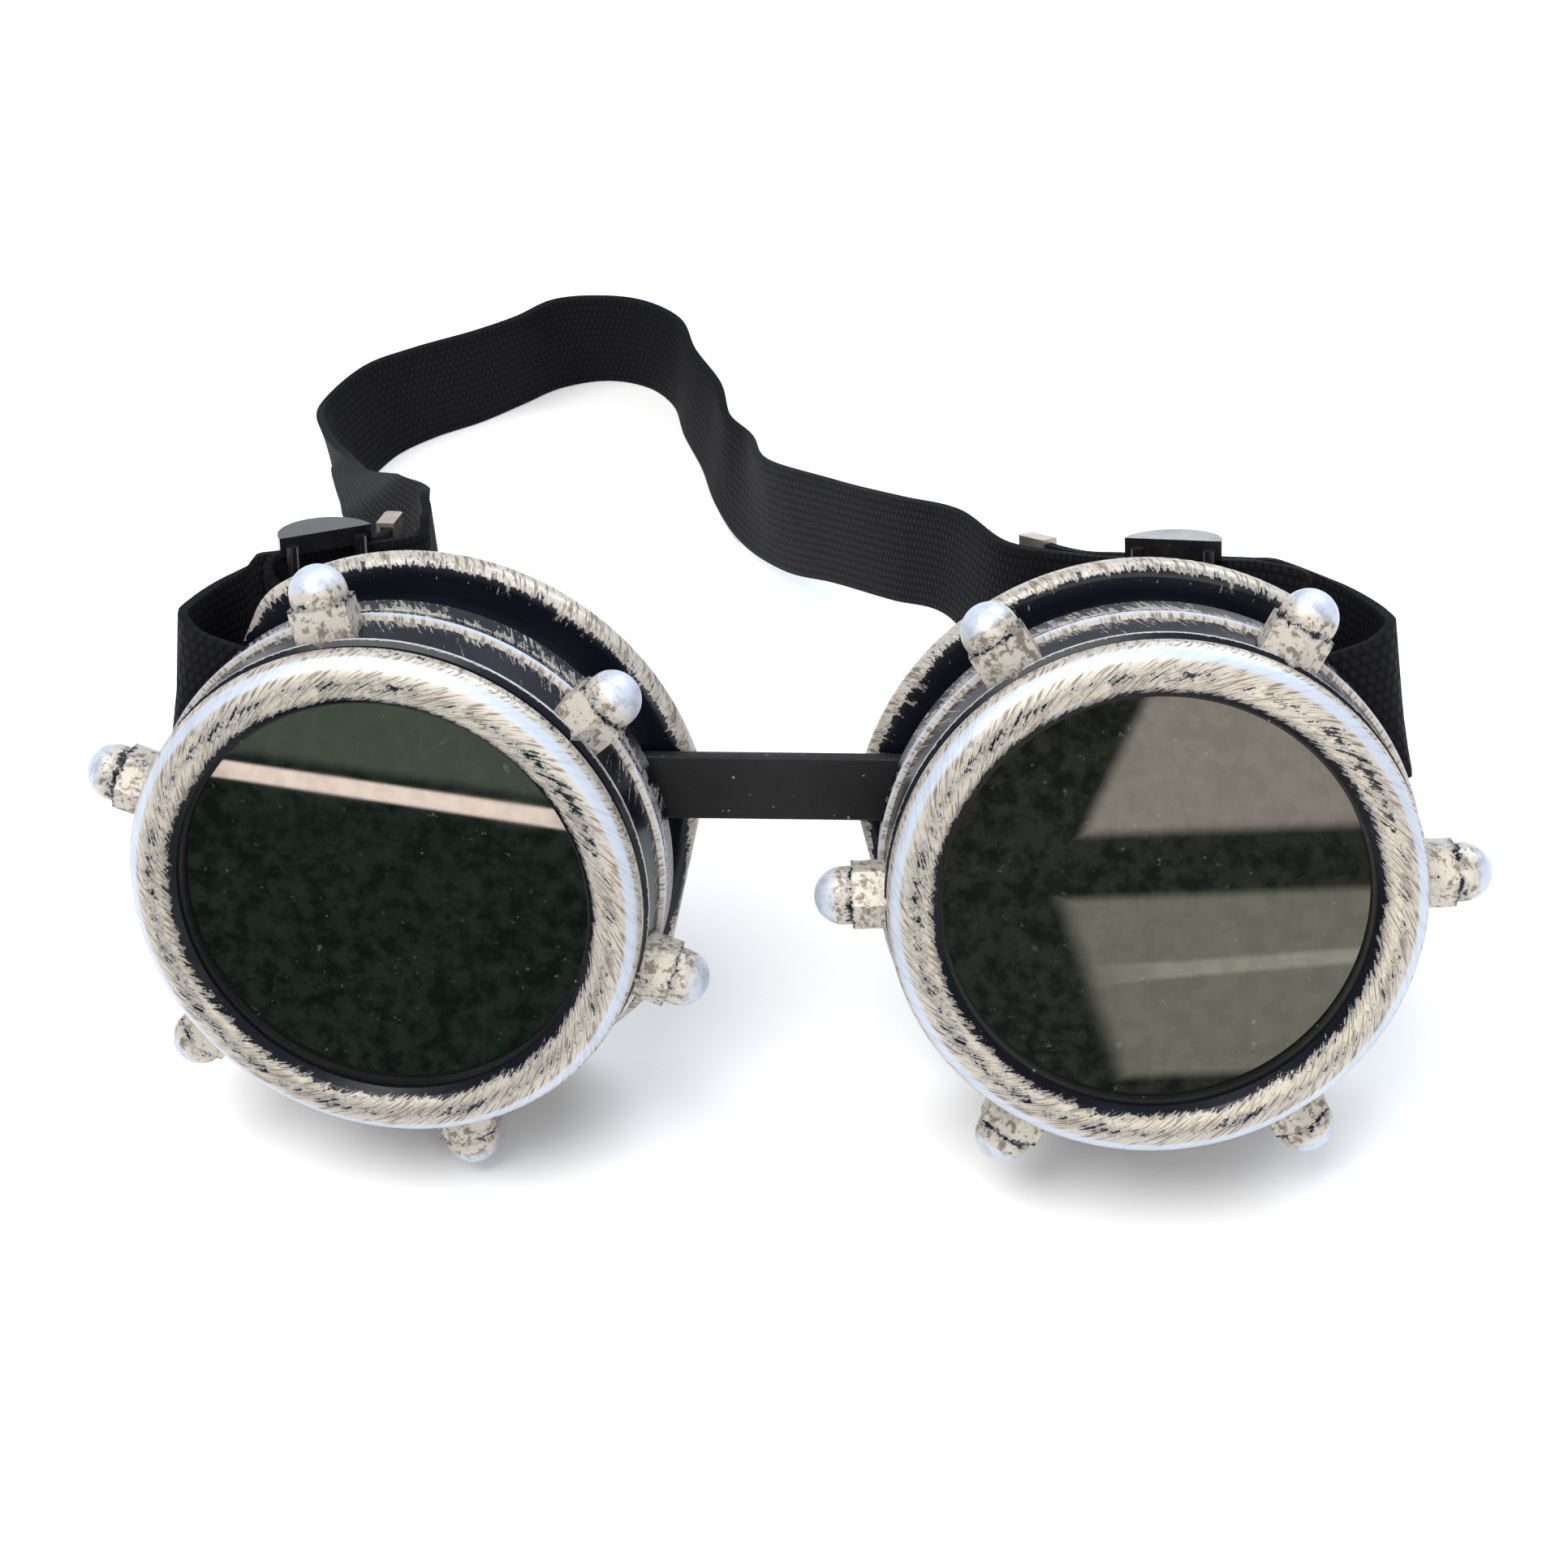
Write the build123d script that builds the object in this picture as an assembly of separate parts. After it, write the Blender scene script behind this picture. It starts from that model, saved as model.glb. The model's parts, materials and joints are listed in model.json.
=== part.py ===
from build123d import *
import math
import os

# Round-lens welding goggles: two eye cups joined by a soft bridge strip, with
# screw-on lens retainers and an elastic headband. Lengths in mm, angles in
# degrees. +Z is up and the lenses face -Y, with the origin on the table under
# the middle of the whole object.
#
# Each eye cup has a frame of its own: +X to the right as seen by someone who
# faces the lenses, +Y up, +Z out of the lens, z = 0 on the plane where the
# front ring is widest.

# ---- how the cups stand -----------------------------------------------------
cup_spacing = 81.6
toe_out = 4.2
pitch = {"left": 18.9, "right": 24.3}
side_sign = {"left": -1, "right": 1}

# ---- lens stack -------------------------------------------------------------
lens_d = 50.0
dark_lens_t = 2.4
clear_lens_t = 1.4
gasket_t = 0.8
gasket_bore_d = 44.4
lens_play = 0.3
stack_play = 0.1

# ---- front ring -------------------------------------------------------------
opening_d = 46.0
front_ring_d = 56.0
front_ring_rise = 2.0
front_ring_skirt = 2.0
lip_back_z = -0.3
lip_bore_d = 45.2
collar_neck_d = 53.4

# ---- knobbed collar ---------------------------------------------------------
line_1_d = 56.4
line_2_d = 57.8
collar_wall_d = 55.2
collar_front_z = -2.6
line_1_z = -3.4
line_2_z = -9.2
collar_back_z = -10.6
line_rise = 0.5

# ---- thread between collar and cup -----------------------------------------
thread_d = 51.2
thread_clearance = 0.05
thread_pitch = 4.0
thread_turns = 1.5
thread_groove = 0.5
thread_groove_w = 1.2

# ---- cap nuts ---------------------------------------------------------------
nut_count = 6
nut_af = 6.4
nut_z = -6.3
nut_seat_r = 26.9
nut_top_r = 31.6
dome_d = 6.2
dome_centre_r = 32.5
nut_play = 0.05
nut_phase = {"left": -18.0, "right": 0.0}

# ---- cup shell --------------------------------------------------------------
wall = 1.6
band_d = 57.2
band_back_z = -14.2
groove_d = 55.0
flange_d = 63.2
flange_front_z = -19.4
flange_t = 3.8
flange_round = 1.6
spigot_bore_d = 45.2
shoulder_gap = 0.3
nose_flat_r = 29.2
nose_flat_angle = -12.0
temple_flat_r = 27.4
temple_angle = 25.0
groove_flat_r = 25.2

# ---- face pad ---------------------------------------------------------------
pad_t = 2.4
pad_inset = 1.4
pad_round = 0.8

# ---- bridge strip -----------------------------------------------------------
bridge_h = 7.2
bridge_t = 2.0
bridge_rise = 7.8
bridge_z = -16.8
bridge_play = 0.55
head_w = 6.0
head_t = 1.6
head_setback = 3.6

# ---- headband ---------------------------------------------------------------
band_w = 16.0
band_t = 1.1
slot_play = 0.6
slot_z = -16.8
slot_shift = 3.0
layer_gap = 0.15
loop_out = 27.8
loop_up = 15.8
loop_tilt = 6.0
behind_pad = 3.0
run_up = {"left": 19.4, "right": 20.8}
run_angle = {"left": 38.0, "right": 20.0}
run_start = {"left": 20.6, "right": 15.5}
run_end = {"left": 5.5, "right": -5.0}
tail_bend = {"left": 9.2, "right": -4.6}
tail_tip_out = {"left": 10.2, "right": -10.2}
tail_tip_z = {"left": -45.4, "right": -45.2}
joint_gap = 0.3

# ---- sliders and strap-end crimps ------------------------------------------
slider_at = {"left": 15.0, "right": 5.6}
slider_l = 9.6
slider_rail = 2.2
slider_rail_t = 1.8
slider_bar_d = 1.5
slider_play = 0.25
crimp_l = 4.6
crimp_t = 0.5

strap = {}


def radial(angle, r):
    """Point at an angle and radius in a cup's own XY plane."""
    return (r * math.cos(math.radians(angle)), r * math.sin(math.radians(angle)))


def turned(profile):
    """Solid of revolution about the cup's axis from (r, z) corners."""
    corners = [(r, 0, z) for r, z in profile]
    return revolve(make_face(Polyline(*corners, close=True)), Axis.Z, 360)


def outward(side, angle):
    """Turns an angle above the temple side into the cup's own angle."""
    return angle if side == "right" else 180 - angle


def slab(side, angle, r, z_back, z_front, span=40):
    """Box that covers everything further than r in one direction."""
    x, y = radial(outward(side, angle), r + span / 2)
    block = Box(span, 2 * span, z_front - z_back)
    block = Rot(0, 0, outward(side, angle)) * block
    return Pos(x, y, (z_front + z_back) / 2) * block


# ---- places -----------------------------------------------------------------

def cup_plane(side, height=0):
    """The cup's own frame in the assembly, its axis over the table by height."""
    yaw = math.radians(side_sign[side] * toe_out)
    lift = math.radians(pitch[side])
    facing = (math.sin(yaw) * math.cos(lift), -math.cos(yaw) * math.cos(lift), math.sin(lift))
    level = (math.cos(yaw), math.sin(yaw), 0)
    centre = (side_sign[side] * cup_spacing / 2, 0, height)
    return Plane(origin=centre, x_dir=level, z_dir=facing)


# ---- one cup's pieces, each in the cup's own frame --------------------------

def make_front_ring():
    lip_r = lip_bore_d / 2
    ring_r = front_ring_d / 2
    neck_r = collar_neck_d / 2
    shoulder = Spline(
        (lip_r + 0.6, 0, front_ring_rise * 0.62),
        (lip_r + 1.7, 0, front_ring_rise * 0.97),
        (ring_r - 2.4, 0, front_ring_rise * 0.92),
        (ring_r - 0.7, 0, front_ring_rise * 0.42),
        (ring_r, 0, -0.3),
    )
    rest = Polyline(
        (ring_r, 0, -0.3),
        (ring_r, 0, -front_ring_skirt + 0.7),
        (ring_r - 0.7, 0, -front_ring_skirt),
        (neck_r, 0, -front_ring_skirt),
        (neck_r, 0, lip_back_z),
        (lip_r, 0, lip_back_z),
        (lip_r, 0, 0.35),
        (lip_r + 0.6, 0, front_ring_rise * 0.62),
    )
    return revolve(make_face([shoulder, rest]), Axis.Z, 360)


def make_collar():
    neck_r = collar_neck_d / 2
    wall_r = collar_wall_d / 2
    lens_r = lens_d / 2 + lens_play
    bore_r = thread_d / 2 + thread_clearance
    top_1 = line_1_d / 2
    top_2 = line_2_d / 2
    lens_floor = stack_back_z() - stack_play
    body = turned([
        (lens_r, lip_back_z),
        (neck_r, lip_back_z),
        (neck_r, collar_front_z),
        (top_1 - line_rise, collar_front_z),
        (top_1, line_1_z + 0.35),
        (top_1, line_1_z - 0.1),
        (wall_r, line_1_z - 0.5),
        (wall_r + 0.7, line_2_z + 0.5),
        (top_2, line_2_z + 0.3),
        (top_2, line_2_z - 0.2),
        (top_2 - 0.5, line_2_z - 0.45),
        (top_2 - 0.5, line_2_z - 0.65),
        (top_2 - 0.1, line_2_z - 0.85),
        (band_d / 2, collar_back_z),
        (bore_r, collar_back_z),
        (bore_r, lens_floor),
        (lens_r, lens_floor),
    ])
    return body


def hexagon_prism(across_flats, r_low, r_high, angle):
    """Hexagonal prism whose axis is radial, one corner facing the lens."""
    x, y = radial(angle, r_low)
    axis = Vector(*radial(angle, 1), 0)
    seat = Plane(origin=(x, y, nut_z), x_dir=(0, 0, 1), z_dir=axis)
    outline = RegularPolygon(across_flats / 2, 6, major_radius=False)
    return extrude(seat * outline, r_high - r_low)


def nut_angles(side):
    return [nut_phase[side] + 360 / nut_count * i for i in range(nut_count)]


def cut_seats(collar, side):
    for angle in nut_angles(side):
        pocket = hexagon_prism(nut_af + 2 * nut_play, nut_seat_r, nut_top_r, angle)
        collar = collar - pocket
    return collar


def make_cap_nuts(side):
    nuts = []
    for angle in nut_angles(side):
        nut = hexagon_prism(nut_af, nut_seat_r, nut_top_r, angle)
        axis = Vector(*radial(angle, 1), 0)
        base = Plane(origin=(*radial(angle, nut_top_r), nut_z), x_dir=(0, 0, 1), z_dir=axis)
        crown = extrude(base * Circle(dome_d / 2), dome_centre_r - nut_top_r)
        dome = Pos(*radial(angle, dome_centre_r), nut_z) * Sphere(dome_d / 2)
        below = base * Pos(0, 0, -dome_d / 2) * Box(2 * dome_d, 2 * dome_d, dome_d)
        nuts.append(nut + crown + (dome - below))
    return Compound(children=nuts)


def stack_front_z():
    return lip_back_z - stack_play


def stack_back_z():
    return stack_front_z() - gasket_t - dark_lens_t - clear_lens_t


def make_gasket():
    front = stack_front_z()
    outer = lens_d / 2
    return turned([
        (gasket_bore_d / 2, front),
        (outer, front),
        (outer, front - gasket_t),
        (gasket_bore_d / 2, front - gasket_t),
    ])


def make_lens(front, thickness):
    disc = Pos(0, 0, front - thickness / 2) * Cylinder(lens_d / 2, thickness)
    return chamfer(disc.edges().filter_by(GeomType.CIRCLE), 0.25)


def flange_outline(inset):
    """The rear rim's outline: a circle with a nose flat and a temple flat."""
    outline = Circle(flange_d / 2 - inset)
    span = flange_d
    cuts = []
    for angle, flat in ((180 - nose_flat_angle, nose_flat_r), (temple_angle, temple_flat_r)):
        x, y = radial(angle, flat - inset + span / 2)
        cuts.append(Pos(x, y) * Rot(0, 0, angle) * Rectangle(span, 2 * span))
    outline = outline - cuts[0] - cuts[1]
    return fillet(outline.vertices(), 7.0)


def rim_solid(side, inset, z_front, thickness):
    solid = extrude(Pos(0, 0, z_front - thickness) * flange_outline(inset), thickness)
    if side == "left":
        solid = mirror(solid, about=Plane.YZ)
    return solid


def eye_space(side, z_back):
    """What is hollow behind the spigot: round, with a flat at the temple."""
    bore_r = groove_d / 2 - wall
    spigot_r = spigot_bore_d / 2
    step = band_back_z + wall
    space = turned([
        (0, z_back),
        (bore_r, z_back),
        (bore_r, step),
        (spigot_r, step + (bore_r - spigot_r) * 0.5),
        (0, step + (bore_r - spigot_r) * 0.5),
    ])
    flat = slab(side, temple_angle, groove_flat_r - wall, z_back, 0)
    return space - flat


def strap_slot(side):
    a = math.radians(temple_angle)
    r = groove_flat_r - wall / 2
    x = side_sign[side] * (r * math.cos(a) - slot_shift * math.sin(a))
    y = r * math.sin(a) + slot_shift * math.cos(a)
    slot = Box(4 * wall, band_w + 2 * slot_play, band_t + 2 * slot_play)
    return Pos(x, y, slot_z) * Rot(0, 0, outward(side, temple_angle)) * slot


def bridge_slot(side):
    r = groove_d / 2
    x = -side_sign[side] * math.sqrt(r * r - bridge_rise ** 2)
    slot = Box(6 * wall, bridge_h + 2 * bridge_play, bridge_t + 2 * bridge_play)
    return Pos(x, bridge_rise, bridge_z) * slot


def make_cup_shell(side):
    thread_r = thread_d / 2
    spigot_top = stack_back_z() - stack_play
    shoulder_z = collar_back_z - shoulder_gap
    inner_r = spigot_bore_d / 2
    groove_r = groove_d / 2
    flange_back_z = flange_front_z - flange_t
    spigot = [(inner_r, spigot_top), (thread_r - 0.4, spigot_top), (thread_r, spigot_top - 0.4)]
    z = spigot_top - 1.0
    while z - thread_groove_w > shoulder_z + 0.6:
        spigot.append((thread_r, z))
        spigot.append((thread_r - thread_groove, z - 0.3))
        spigot.append((thread_r - thread_groove, z - thread_groove_w + 0.3))
        spigot.append((thread_r, z - thread_groove_w))
        z = z - thread_pitch / 2
    front = turned(spigot + [
        (thread_r, shoulder_z),
        (band_d / 2, shoulder_z),
        (band_d / 2 + 0.2, band_back_z + 0.6),
        (band_d / 2 - 0.4, band_back_z),
        (inner_r, band_back_z),
    ])
    barrel = turned([
        (0, flange_back_z + flange_t / 2),
        (groove_r, flange_back_z + flange_t / 2),
        (groove_r, band_back_z),
        (inner_r, band_back_z),
        (inner_r, band_back_z + 2),
        (0, band_back_z + 2),
    ])
    barrel = barrel - slab(side, temple_angle, groove_flat_r, flange_back_z, band_back_z)
    flange = rim_solid(side, 0, flange_front_z, flange_t)
    rims = [flange.faces().sort_by(Axis.Z)[0], flange.faces().sort_by(Axis.Z)[-1]]
    edges = rims[0].outer_wire().edges() + rims[1].outer_wire().edges()
    flange = fillet(edges, flange_round)
    shell = front + barrel + flange
    shell = shell - eye_space(side, flange_back_z - 1)
    return shell - strap_slot(side) - bridge_slot(side)


def make_face_pad(side):
    front = flange_front_z - flange_t
    pad = rim_solid(side, pad_inset, front, pad_t)
    back_face = pad.faces().sort_by(Axis.Z)[0]
    pad = fillet(back_face.outer_wire().edges(), pad_round)
    return pad - eye_space(side, front - pad_t - 1)


# ---- flat elastic: a ruled solid through flat cross-sections ----------------

def elastic(stations):
    """Flat band through (centre, direction of its width, its facing) stations."""
    sections = []
    last = len(stations) - 1
    for i, (centre, across, facing) in enumerate(stations):
        if facing is None:
            before = stations[max(i - 1, 0)][0]
            after = stations[min(i + 1, last)][0]
            along = (after - before).normalized()
            across = across - along * across.dot(along)
            facing = along.cross(across)
        across = across.normalized()
        facing = (facing - across * facing.dot(across)).normalized()
        half_w = across * (band_w / 2)
        half_t = facing * (band_t / 2)
        corners = [
            centre + half_w + half_t,
            centre - half_w + half_t,
            centre - half_w - half_t,
            centre + half_w - half_t,
        ]
        sections.append(Face(Wire.make_polygon(corners, close=True)))
    band = loft(sections, ruled=True)
    if band.volume < 0:
        band = loft(sections[::-1], ruled=True)
    return band


def local(side, out, up, z):
    """Cup-frame point from its distance towards the temple."""
    return Vector(side_sign[side] * out, up, z)


def run_point(side, out, back=0.0):
    """Point on the straight stretch behind the pad; back is away from the cup."""
    slope = math.radians(run_angle[side])
    start = flange_front_z - flange_t - pad_t - behind_pad
    z = start - (run_start[side] - out) * math.tan(slope)
    shift_out = math.sin(slope) * back
    shift_z = -math.cos(slope) * back
    return local(side, out + shift_out, run_up[side], z + shift_z)


def run_facing(side):
    """Square to the straight stretch, towards the cup."""
    slope = math.radians(run_angle[side])
    return local(side, -math.sin(slope), 0, math.cos(slope))


def loop_stations(side):
    """The strap's end: in to the cup, out of its slot and back to its tail."""
    a = math.radians(temple_angle)
    upright = Vector(0, 1, 0)
    slot_across = local(side, -math.sin(a), math.cos(a), 0)
    lean = (upright + slot_across).normalized()
    outward_facing = local(side, math.cos(a), math.sin(a), 0)
    forward = Vector(0, 0, 1)
    ahead = run_facing(side)
    layer = band_t + layer_gap
    pad_back = flange_front_z - flange_t - pad_t
    inner_r = groove_flat_r - wall - band_t / 2 - 0.35
    tilt = math.radians(loop_tilt)
    loop_across = local(side, -math.sin(tilt), math.cos(tilt), 0)
    loop_facing = local(side, math.cos(tilt), math.sin(tilt), 0)

    def out_at(r, z, lift=0.0):
        t = slot_shift + lift
        return local(side, r * math.cos(a) - t * math.sin(a), r * math.sin(a) + t * math.cos(a), z)

    def loop_at(out, up, z):
        return local(side, loop_out + out, loop_up + up, z)

    start = run_point(side, run_start[side])
    bend = run_point(side, tail_bend[side], layer)
    tip = local(side, tail_tip_out[side], run_up[side], tail_tip_z[side])
    tail = (tip - bend).normalized()
    tail_facing = Vector(-tail.Z, 0, tail.X) * side_sign[side]
    return [
        (run_point(side, run_end[side]), upright, ahead),
        (start, upright, ahead),
        (local(side, 18.9, run_up[side] - 1.6, pad_back - 2.5), upright, ahead - outward_facing * 0.7),
        (local(side, 18.5, run_up[side] - 3.6, pad_back - 1.9), lean, ahead - outward_facing * 1.8),
        (out_at(inner_r - 0.7, pad_back - 0.4, 1.0), slot_across, -outward_facing),
        (out_at(inner_r, pad_back + 3.0), slot_across, -outward_facing),
        (out_at(inner_r, slot_z - 1.8), slot_across, -outward_facing),
        (out_at(inner_r + 0.5, slot_z - 0.4), slot_across, forward - outward_facing),
        (out_at(inner_r + 1.4, slot_z), slot_across, forward),
        (out_at(groove_flat_r + 0.8, slot_z), slot_across, forward),
        (loop_at(-1.2, -0.9, slot_z - 0.4), loop_across + slot_across, forward + loop_facing * 0.6),
        (loop_at(0, 0, slot_z - 2.6), loop_across, loop_facing),
        (loop_at(0, 0.3, pad_back + 2.4), loop_across, loop_facing),
        (loop_at(-1.6, 1.0, pad_back - 1.8), loop_across, loop_facing - ahead * 0.6),
        (loop_at(-4.6, 2.2, pad_back - 3.9), upright + loop_across, loop_facing - ahead * 1.8),
        (run_point(side, run_start[side] + 0.6, layer), upright, -ahead),
        (run_point(side, run_start[side] - 2.0, layer), upright, -ahead),
        (bend, upright, tail_facing - ahead),
        (tip, upright, tail_facing),
    ]


def make_loop(side):
    return elastic(loop_stations(side)[::-1])


def tail_plane(side):
    """Frame at the strap's free end: X along the strap, Z through it."""
    stations = loop_stations(side)
    tip = stations[-1][0]
    along = (tip - stations[-2][0]).normalized()
    up = Vector(0, 1, 0)
    return Plane(origin=tip, x_dir=along, z_dir=along.cross(up))


def make_crimp(side):
    """Folded metal end clip: a channel closed over the strap's cut end."""
    outer = Box(crimp_l, band_w + 2 * crimp_t, band_t + 2 * crimp_t)
    outer = fillet(outer.edges().filter_by(Axis.Y).sort_by(Axis.X)[-2:], 0.6)
    inside = Pos(-crimp_t, 0, 0) * Box(crimp_l, band_w, band_t)
    clip = Pos(crimp_t - crimp_l / 2, 0, 0) * (outer - inside)
    return tail_plane(side) * clip


def make_slider(side):
    """Two bowed rails joined by three bars: ends on the cup side, middle behind."""
    layer = band_t + layer_gap
    centre = run_point(side, slider_at[side], layer / 2)
    slope = math.radians(run_angle[side])
    along = local(side, math.cos(slope), 0, math.sin(slope)).normalized()
    through = local(side, -math.sin(slope), 0, math.cos(slope)).normalized()
    up = Vector(0, 1, 0)
    reach = (band_t + layer) / 2 + slider_play + slider_bar_d / 2
    frame = Plane(origin=centre, x_dir=along, z_dir=up)
    toward = 1 if frame.y_dir.dot(through) > 0 else -1
    half = slider_l / 2 - slider_bar_d / 2
    rail_h = band_w / 2 + slider_play
    bow = ThreePointArc((-half - 0.5, toward * reach), (0, -toward * reach), (half + 0.5, toward * reach))
    chord = Line((half + 0.5, toward * reach), (-half - 0.5, toward * reach))
    rail_face = trace(bow, slider_rail_t) + make_face([bow, chord])
    rails = extrude(Pos(0, 0, rail_h) * rail_face, slider_rail)
    rails += extrude(Pos(0, 0, -rail_h - slider_rail) * rail_face, slider_rail)
    bar = Cylinder(slider_bar_d / 2, 2 * rail_h + slider_rail)
    bars = Pos(-half, toward * reach, 0) * bar
    bars += Pos(half, toward * reach, 0) * bar
    bars += Pos(0, -toward * reach, 0) * bar
    return frame * (rails + bars)


# ---- bridge strip -----------------------------------------------------------

def make_bridge(planes):
    """Flat strip through both nose slots, with a head inside each cup."""
    r = groove_d / 2 - wall
    reach = math.sqrt(r * r - bridge_rise ** 2) - head_setback
    ends = []
    ups = []
    for side in ("left", "right"):
        plane = planes[side]
        spot = plane.from_local_coords(Vector(-side_sign[side] * reach, bridge_rise, bridge_z))
        ends.append(spot)
        ups.append(plane.y_dir)
    along = (ends[1] - ends[0]).normalized()
    up = (ups[0] + ups[1]).normalized()
    middle = (ends[0] + ends[1]) / 2
    length = (ends[1] - ends[0]).length
    frame = Plane(origin=middle, x_dir=along, z_dir=along.cross(up))
    strip = Box(length, bridge_h, bridge_t)
    for end in (-1, 1):
        strip += Pos(end * (length / 2 - head_t / 2), 0, 0) * Box(head_t, bridge_h, head_w)
    return frame * strip, middle


# ---- the long run of the headband ------------------------------------------
# Lower and upper edge of the elastic as it lies, from the left cup's strap end
# round the back to the right cup's. Heights are above the table.

run_lower = [
    (-42.9, 47.0, 34.8),
    (-43.0, 51.0, 34.2),
    (-44.6, 56.0, 34.0),
    (-49.5, 61.5, 34.5),
    (-57.0, 69.0, 34.5),
    (-61.0, 79.0, 30.5),
    (-65.5, 92.0, 24.0),
    (-70.0, 107.0, 15.5),
    (-72.5, 117.0, 6.5),
    (-71.5, 125.0, 0.7),
    (-68.0, 132.5, 0.15),
    (-63.0, 137.0, 0.15),
    (-56.5, 141.0, 0.15),
    (-51.0, 145.5, 0.15),
    (-45.5, 150.0, 0.15),
    (-38.0, 152.0, 0.15),
    (-31.5, 150.0, 0.15),
    (-27.0, 145.0, 0.15),
    (-24.5, 137.0, 0.15),
    (-21.0, 128.5, 0.15),
    (-18.5, 120.5, 0.15),
    (-14.5, 111.0, 1.0),
    (-6.5, 94.0, 8.5),
    (2.0, 79.5, 17.5),
    (10.5, 66.5, 25.0),
    (17.0, 58.5, 29.5),
    (23.8, 46.5, 31.9),
]
run_upper = [
    (-42.6, 49.2, 50.6),
    (-42.8, 51.4, 50.2),
    (-43.7, 54.4, 49.9),
    (-44.3, 57.5, 48.4),
    (-48.5, 64.0, 45.0),
    (-52.0, 71.5, 40.0),
    (-57.5, 82.5, 32.5),
    (-65.0, 97.5, 24.5),
    (-71.0, 109.5, 20.0),
    (-74.5, 122.5, 15.8),
    (-70.0, 132.0, 15.8),
    (-64.0, 136.0, 16.0),
    (-55.5, 140.5, 16.0),
    (-49.5, 144.5, 16.0),
    (-44.5, 149.0, 16.0),
    (-37.0, 150.0, 15.9),
    (-31.0, 148.5, 15.9),
    (-25.5, 144.0, 15.9),
    (-22.5, 136.0, 15.9),
    (-18.0, 127.5, 15.7),
    (-16.0, 119.5, 15.8),
    (-12.5, 114.0, 16.5),
    (-8.5, 97.5, 23.9),
    (2.5, 79.5, 33.5),
    (11.5, 66.0, 41.0),
    (18.5, 57.5, 45.4),
    (24.6, 48.0, 47.8),
]


def run_stations(planes):
    stations = []
    for low, high in zip(run_lower, run_upper):
        low_point = Vector(*low)
        high_point = Vector(*high)
        stations.append(((low_point + high_point) / 2, high_point - low_point, None))
    for side in ("left", "right"):
        plane = planes[side]
        start = [
            (plane.from_local_coords(run_point(side, run_end[side] - gap)), plane.y_dir, None)
            for gap in (joint_gap, joint_gap + 0.8)
        ]
        stations = start + stations if side == "left" else stations + start[::-1]
    return stations


# ---- build ------------------------------------------------------------------

def place(plane, piece):
    return plane.location * piece


cup_pieces = {}
planes = {}
for side in ("left", "right"):
    dark_front = stack_front_z() - gasket_t
    pieces = {
        "front_ring": make_front_ring(),
        "knob_collar": cut_seats(make_collar(), side),
        "cap_nuts": make_cap_nuts(side),
        "lens_gasket": make_gasket(),
        "dark_lens": make_lens(dark_front, dark_lens_t),
        "clear_lens": make_lens(dark_front - dark_lens_t, clear_lens_t),
        "cup_shell": make_cup_shell(side),
        "face_pad": make_face_pad(side),
        "strap_end": make_loop(side),
        "strap_slider": make_slider(side),
        "strap_crimp": make_crimp(side),
    }
    on_table = cup_plane(side)
    lowest = min(
        place(on_table, pieces[name]).bounding_box().min.Z for name in ("cup_shell", "face_pad")
    )
    planes[side] = cup_plane(side, -lowest)
    cup_pieces[side] = pieces

parts = {}
for side in ("left", "right"):
    for name, piece in cup_pieces[side].items():
        parts[side + "_" + name] = place(planes[side], piece)
bridge, bridge_middle = make_bridge(planes)
parts["bridge_strip"] = bridge
parts["headband"] = elastic(run_stations(planes))

# The origin goes to the middle of the footprint, on the table.
whole = Compound(children=[copy for piece in parts.values() for copy in piece.solids()])
box = whole.bounding_box()
shift = Vector(-(box.min.X + box.max.X) / 2, -(box.min.Y + box.max.Y) / 2, -box.min.Z)

os.makedirs("parts", exist_ok=True)
for name, piece in parts.items():
    export_step(Pos(shift) * piece, "parts/" + name + ".step")
print("nodes", len(parts), "size", box.size)
print("shift", shift, "bridge middle", bridge_middle + shift)
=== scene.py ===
# %% [markdown]
# # Round-lens welding goggles
#
# Two round cups with screw-on collars and dark lenses, joined over the nose by a rubber strip and held
# on by a black elastic headband. The shells, collars, nuts, rings and lenses come from the CAD frame and
# only get their finish here. The soft pieces are modelled here: the headband with its two folded ends,
# the bridge strip and the two face pads. Lengths are in millimetres until a point is put into a mesh,
# and the scene itself is in metres.

# %% Load the frame
import json
import math

import bpy
from mathutils import Matrix, Vector

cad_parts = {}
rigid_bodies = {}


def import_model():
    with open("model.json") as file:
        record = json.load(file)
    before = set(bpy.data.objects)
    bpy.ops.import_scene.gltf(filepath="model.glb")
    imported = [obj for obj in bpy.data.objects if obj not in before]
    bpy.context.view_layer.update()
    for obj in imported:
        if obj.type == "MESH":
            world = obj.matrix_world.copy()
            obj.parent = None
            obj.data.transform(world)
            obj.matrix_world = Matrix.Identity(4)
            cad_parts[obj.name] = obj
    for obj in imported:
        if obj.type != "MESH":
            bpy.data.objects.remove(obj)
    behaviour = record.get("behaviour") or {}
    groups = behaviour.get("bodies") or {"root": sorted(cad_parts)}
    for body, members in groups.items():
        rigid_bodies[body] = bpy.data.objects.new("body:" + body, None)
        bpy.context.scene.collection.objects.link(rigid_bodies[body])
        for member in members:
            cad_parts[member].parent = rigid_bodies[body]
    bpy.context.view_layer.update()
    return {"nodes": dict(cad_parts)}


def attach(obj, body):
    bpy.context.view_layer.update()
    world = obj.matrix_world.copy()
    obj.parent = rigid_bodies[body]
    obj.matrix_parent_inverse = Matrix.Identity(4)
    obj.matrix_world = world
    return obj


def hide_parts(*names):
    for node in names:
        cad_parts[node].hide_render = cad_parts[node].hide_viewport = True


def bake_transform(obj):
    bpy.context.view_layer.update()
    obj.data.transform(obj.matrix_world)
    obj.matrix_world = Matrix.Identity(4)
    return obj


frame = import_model()
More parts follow.
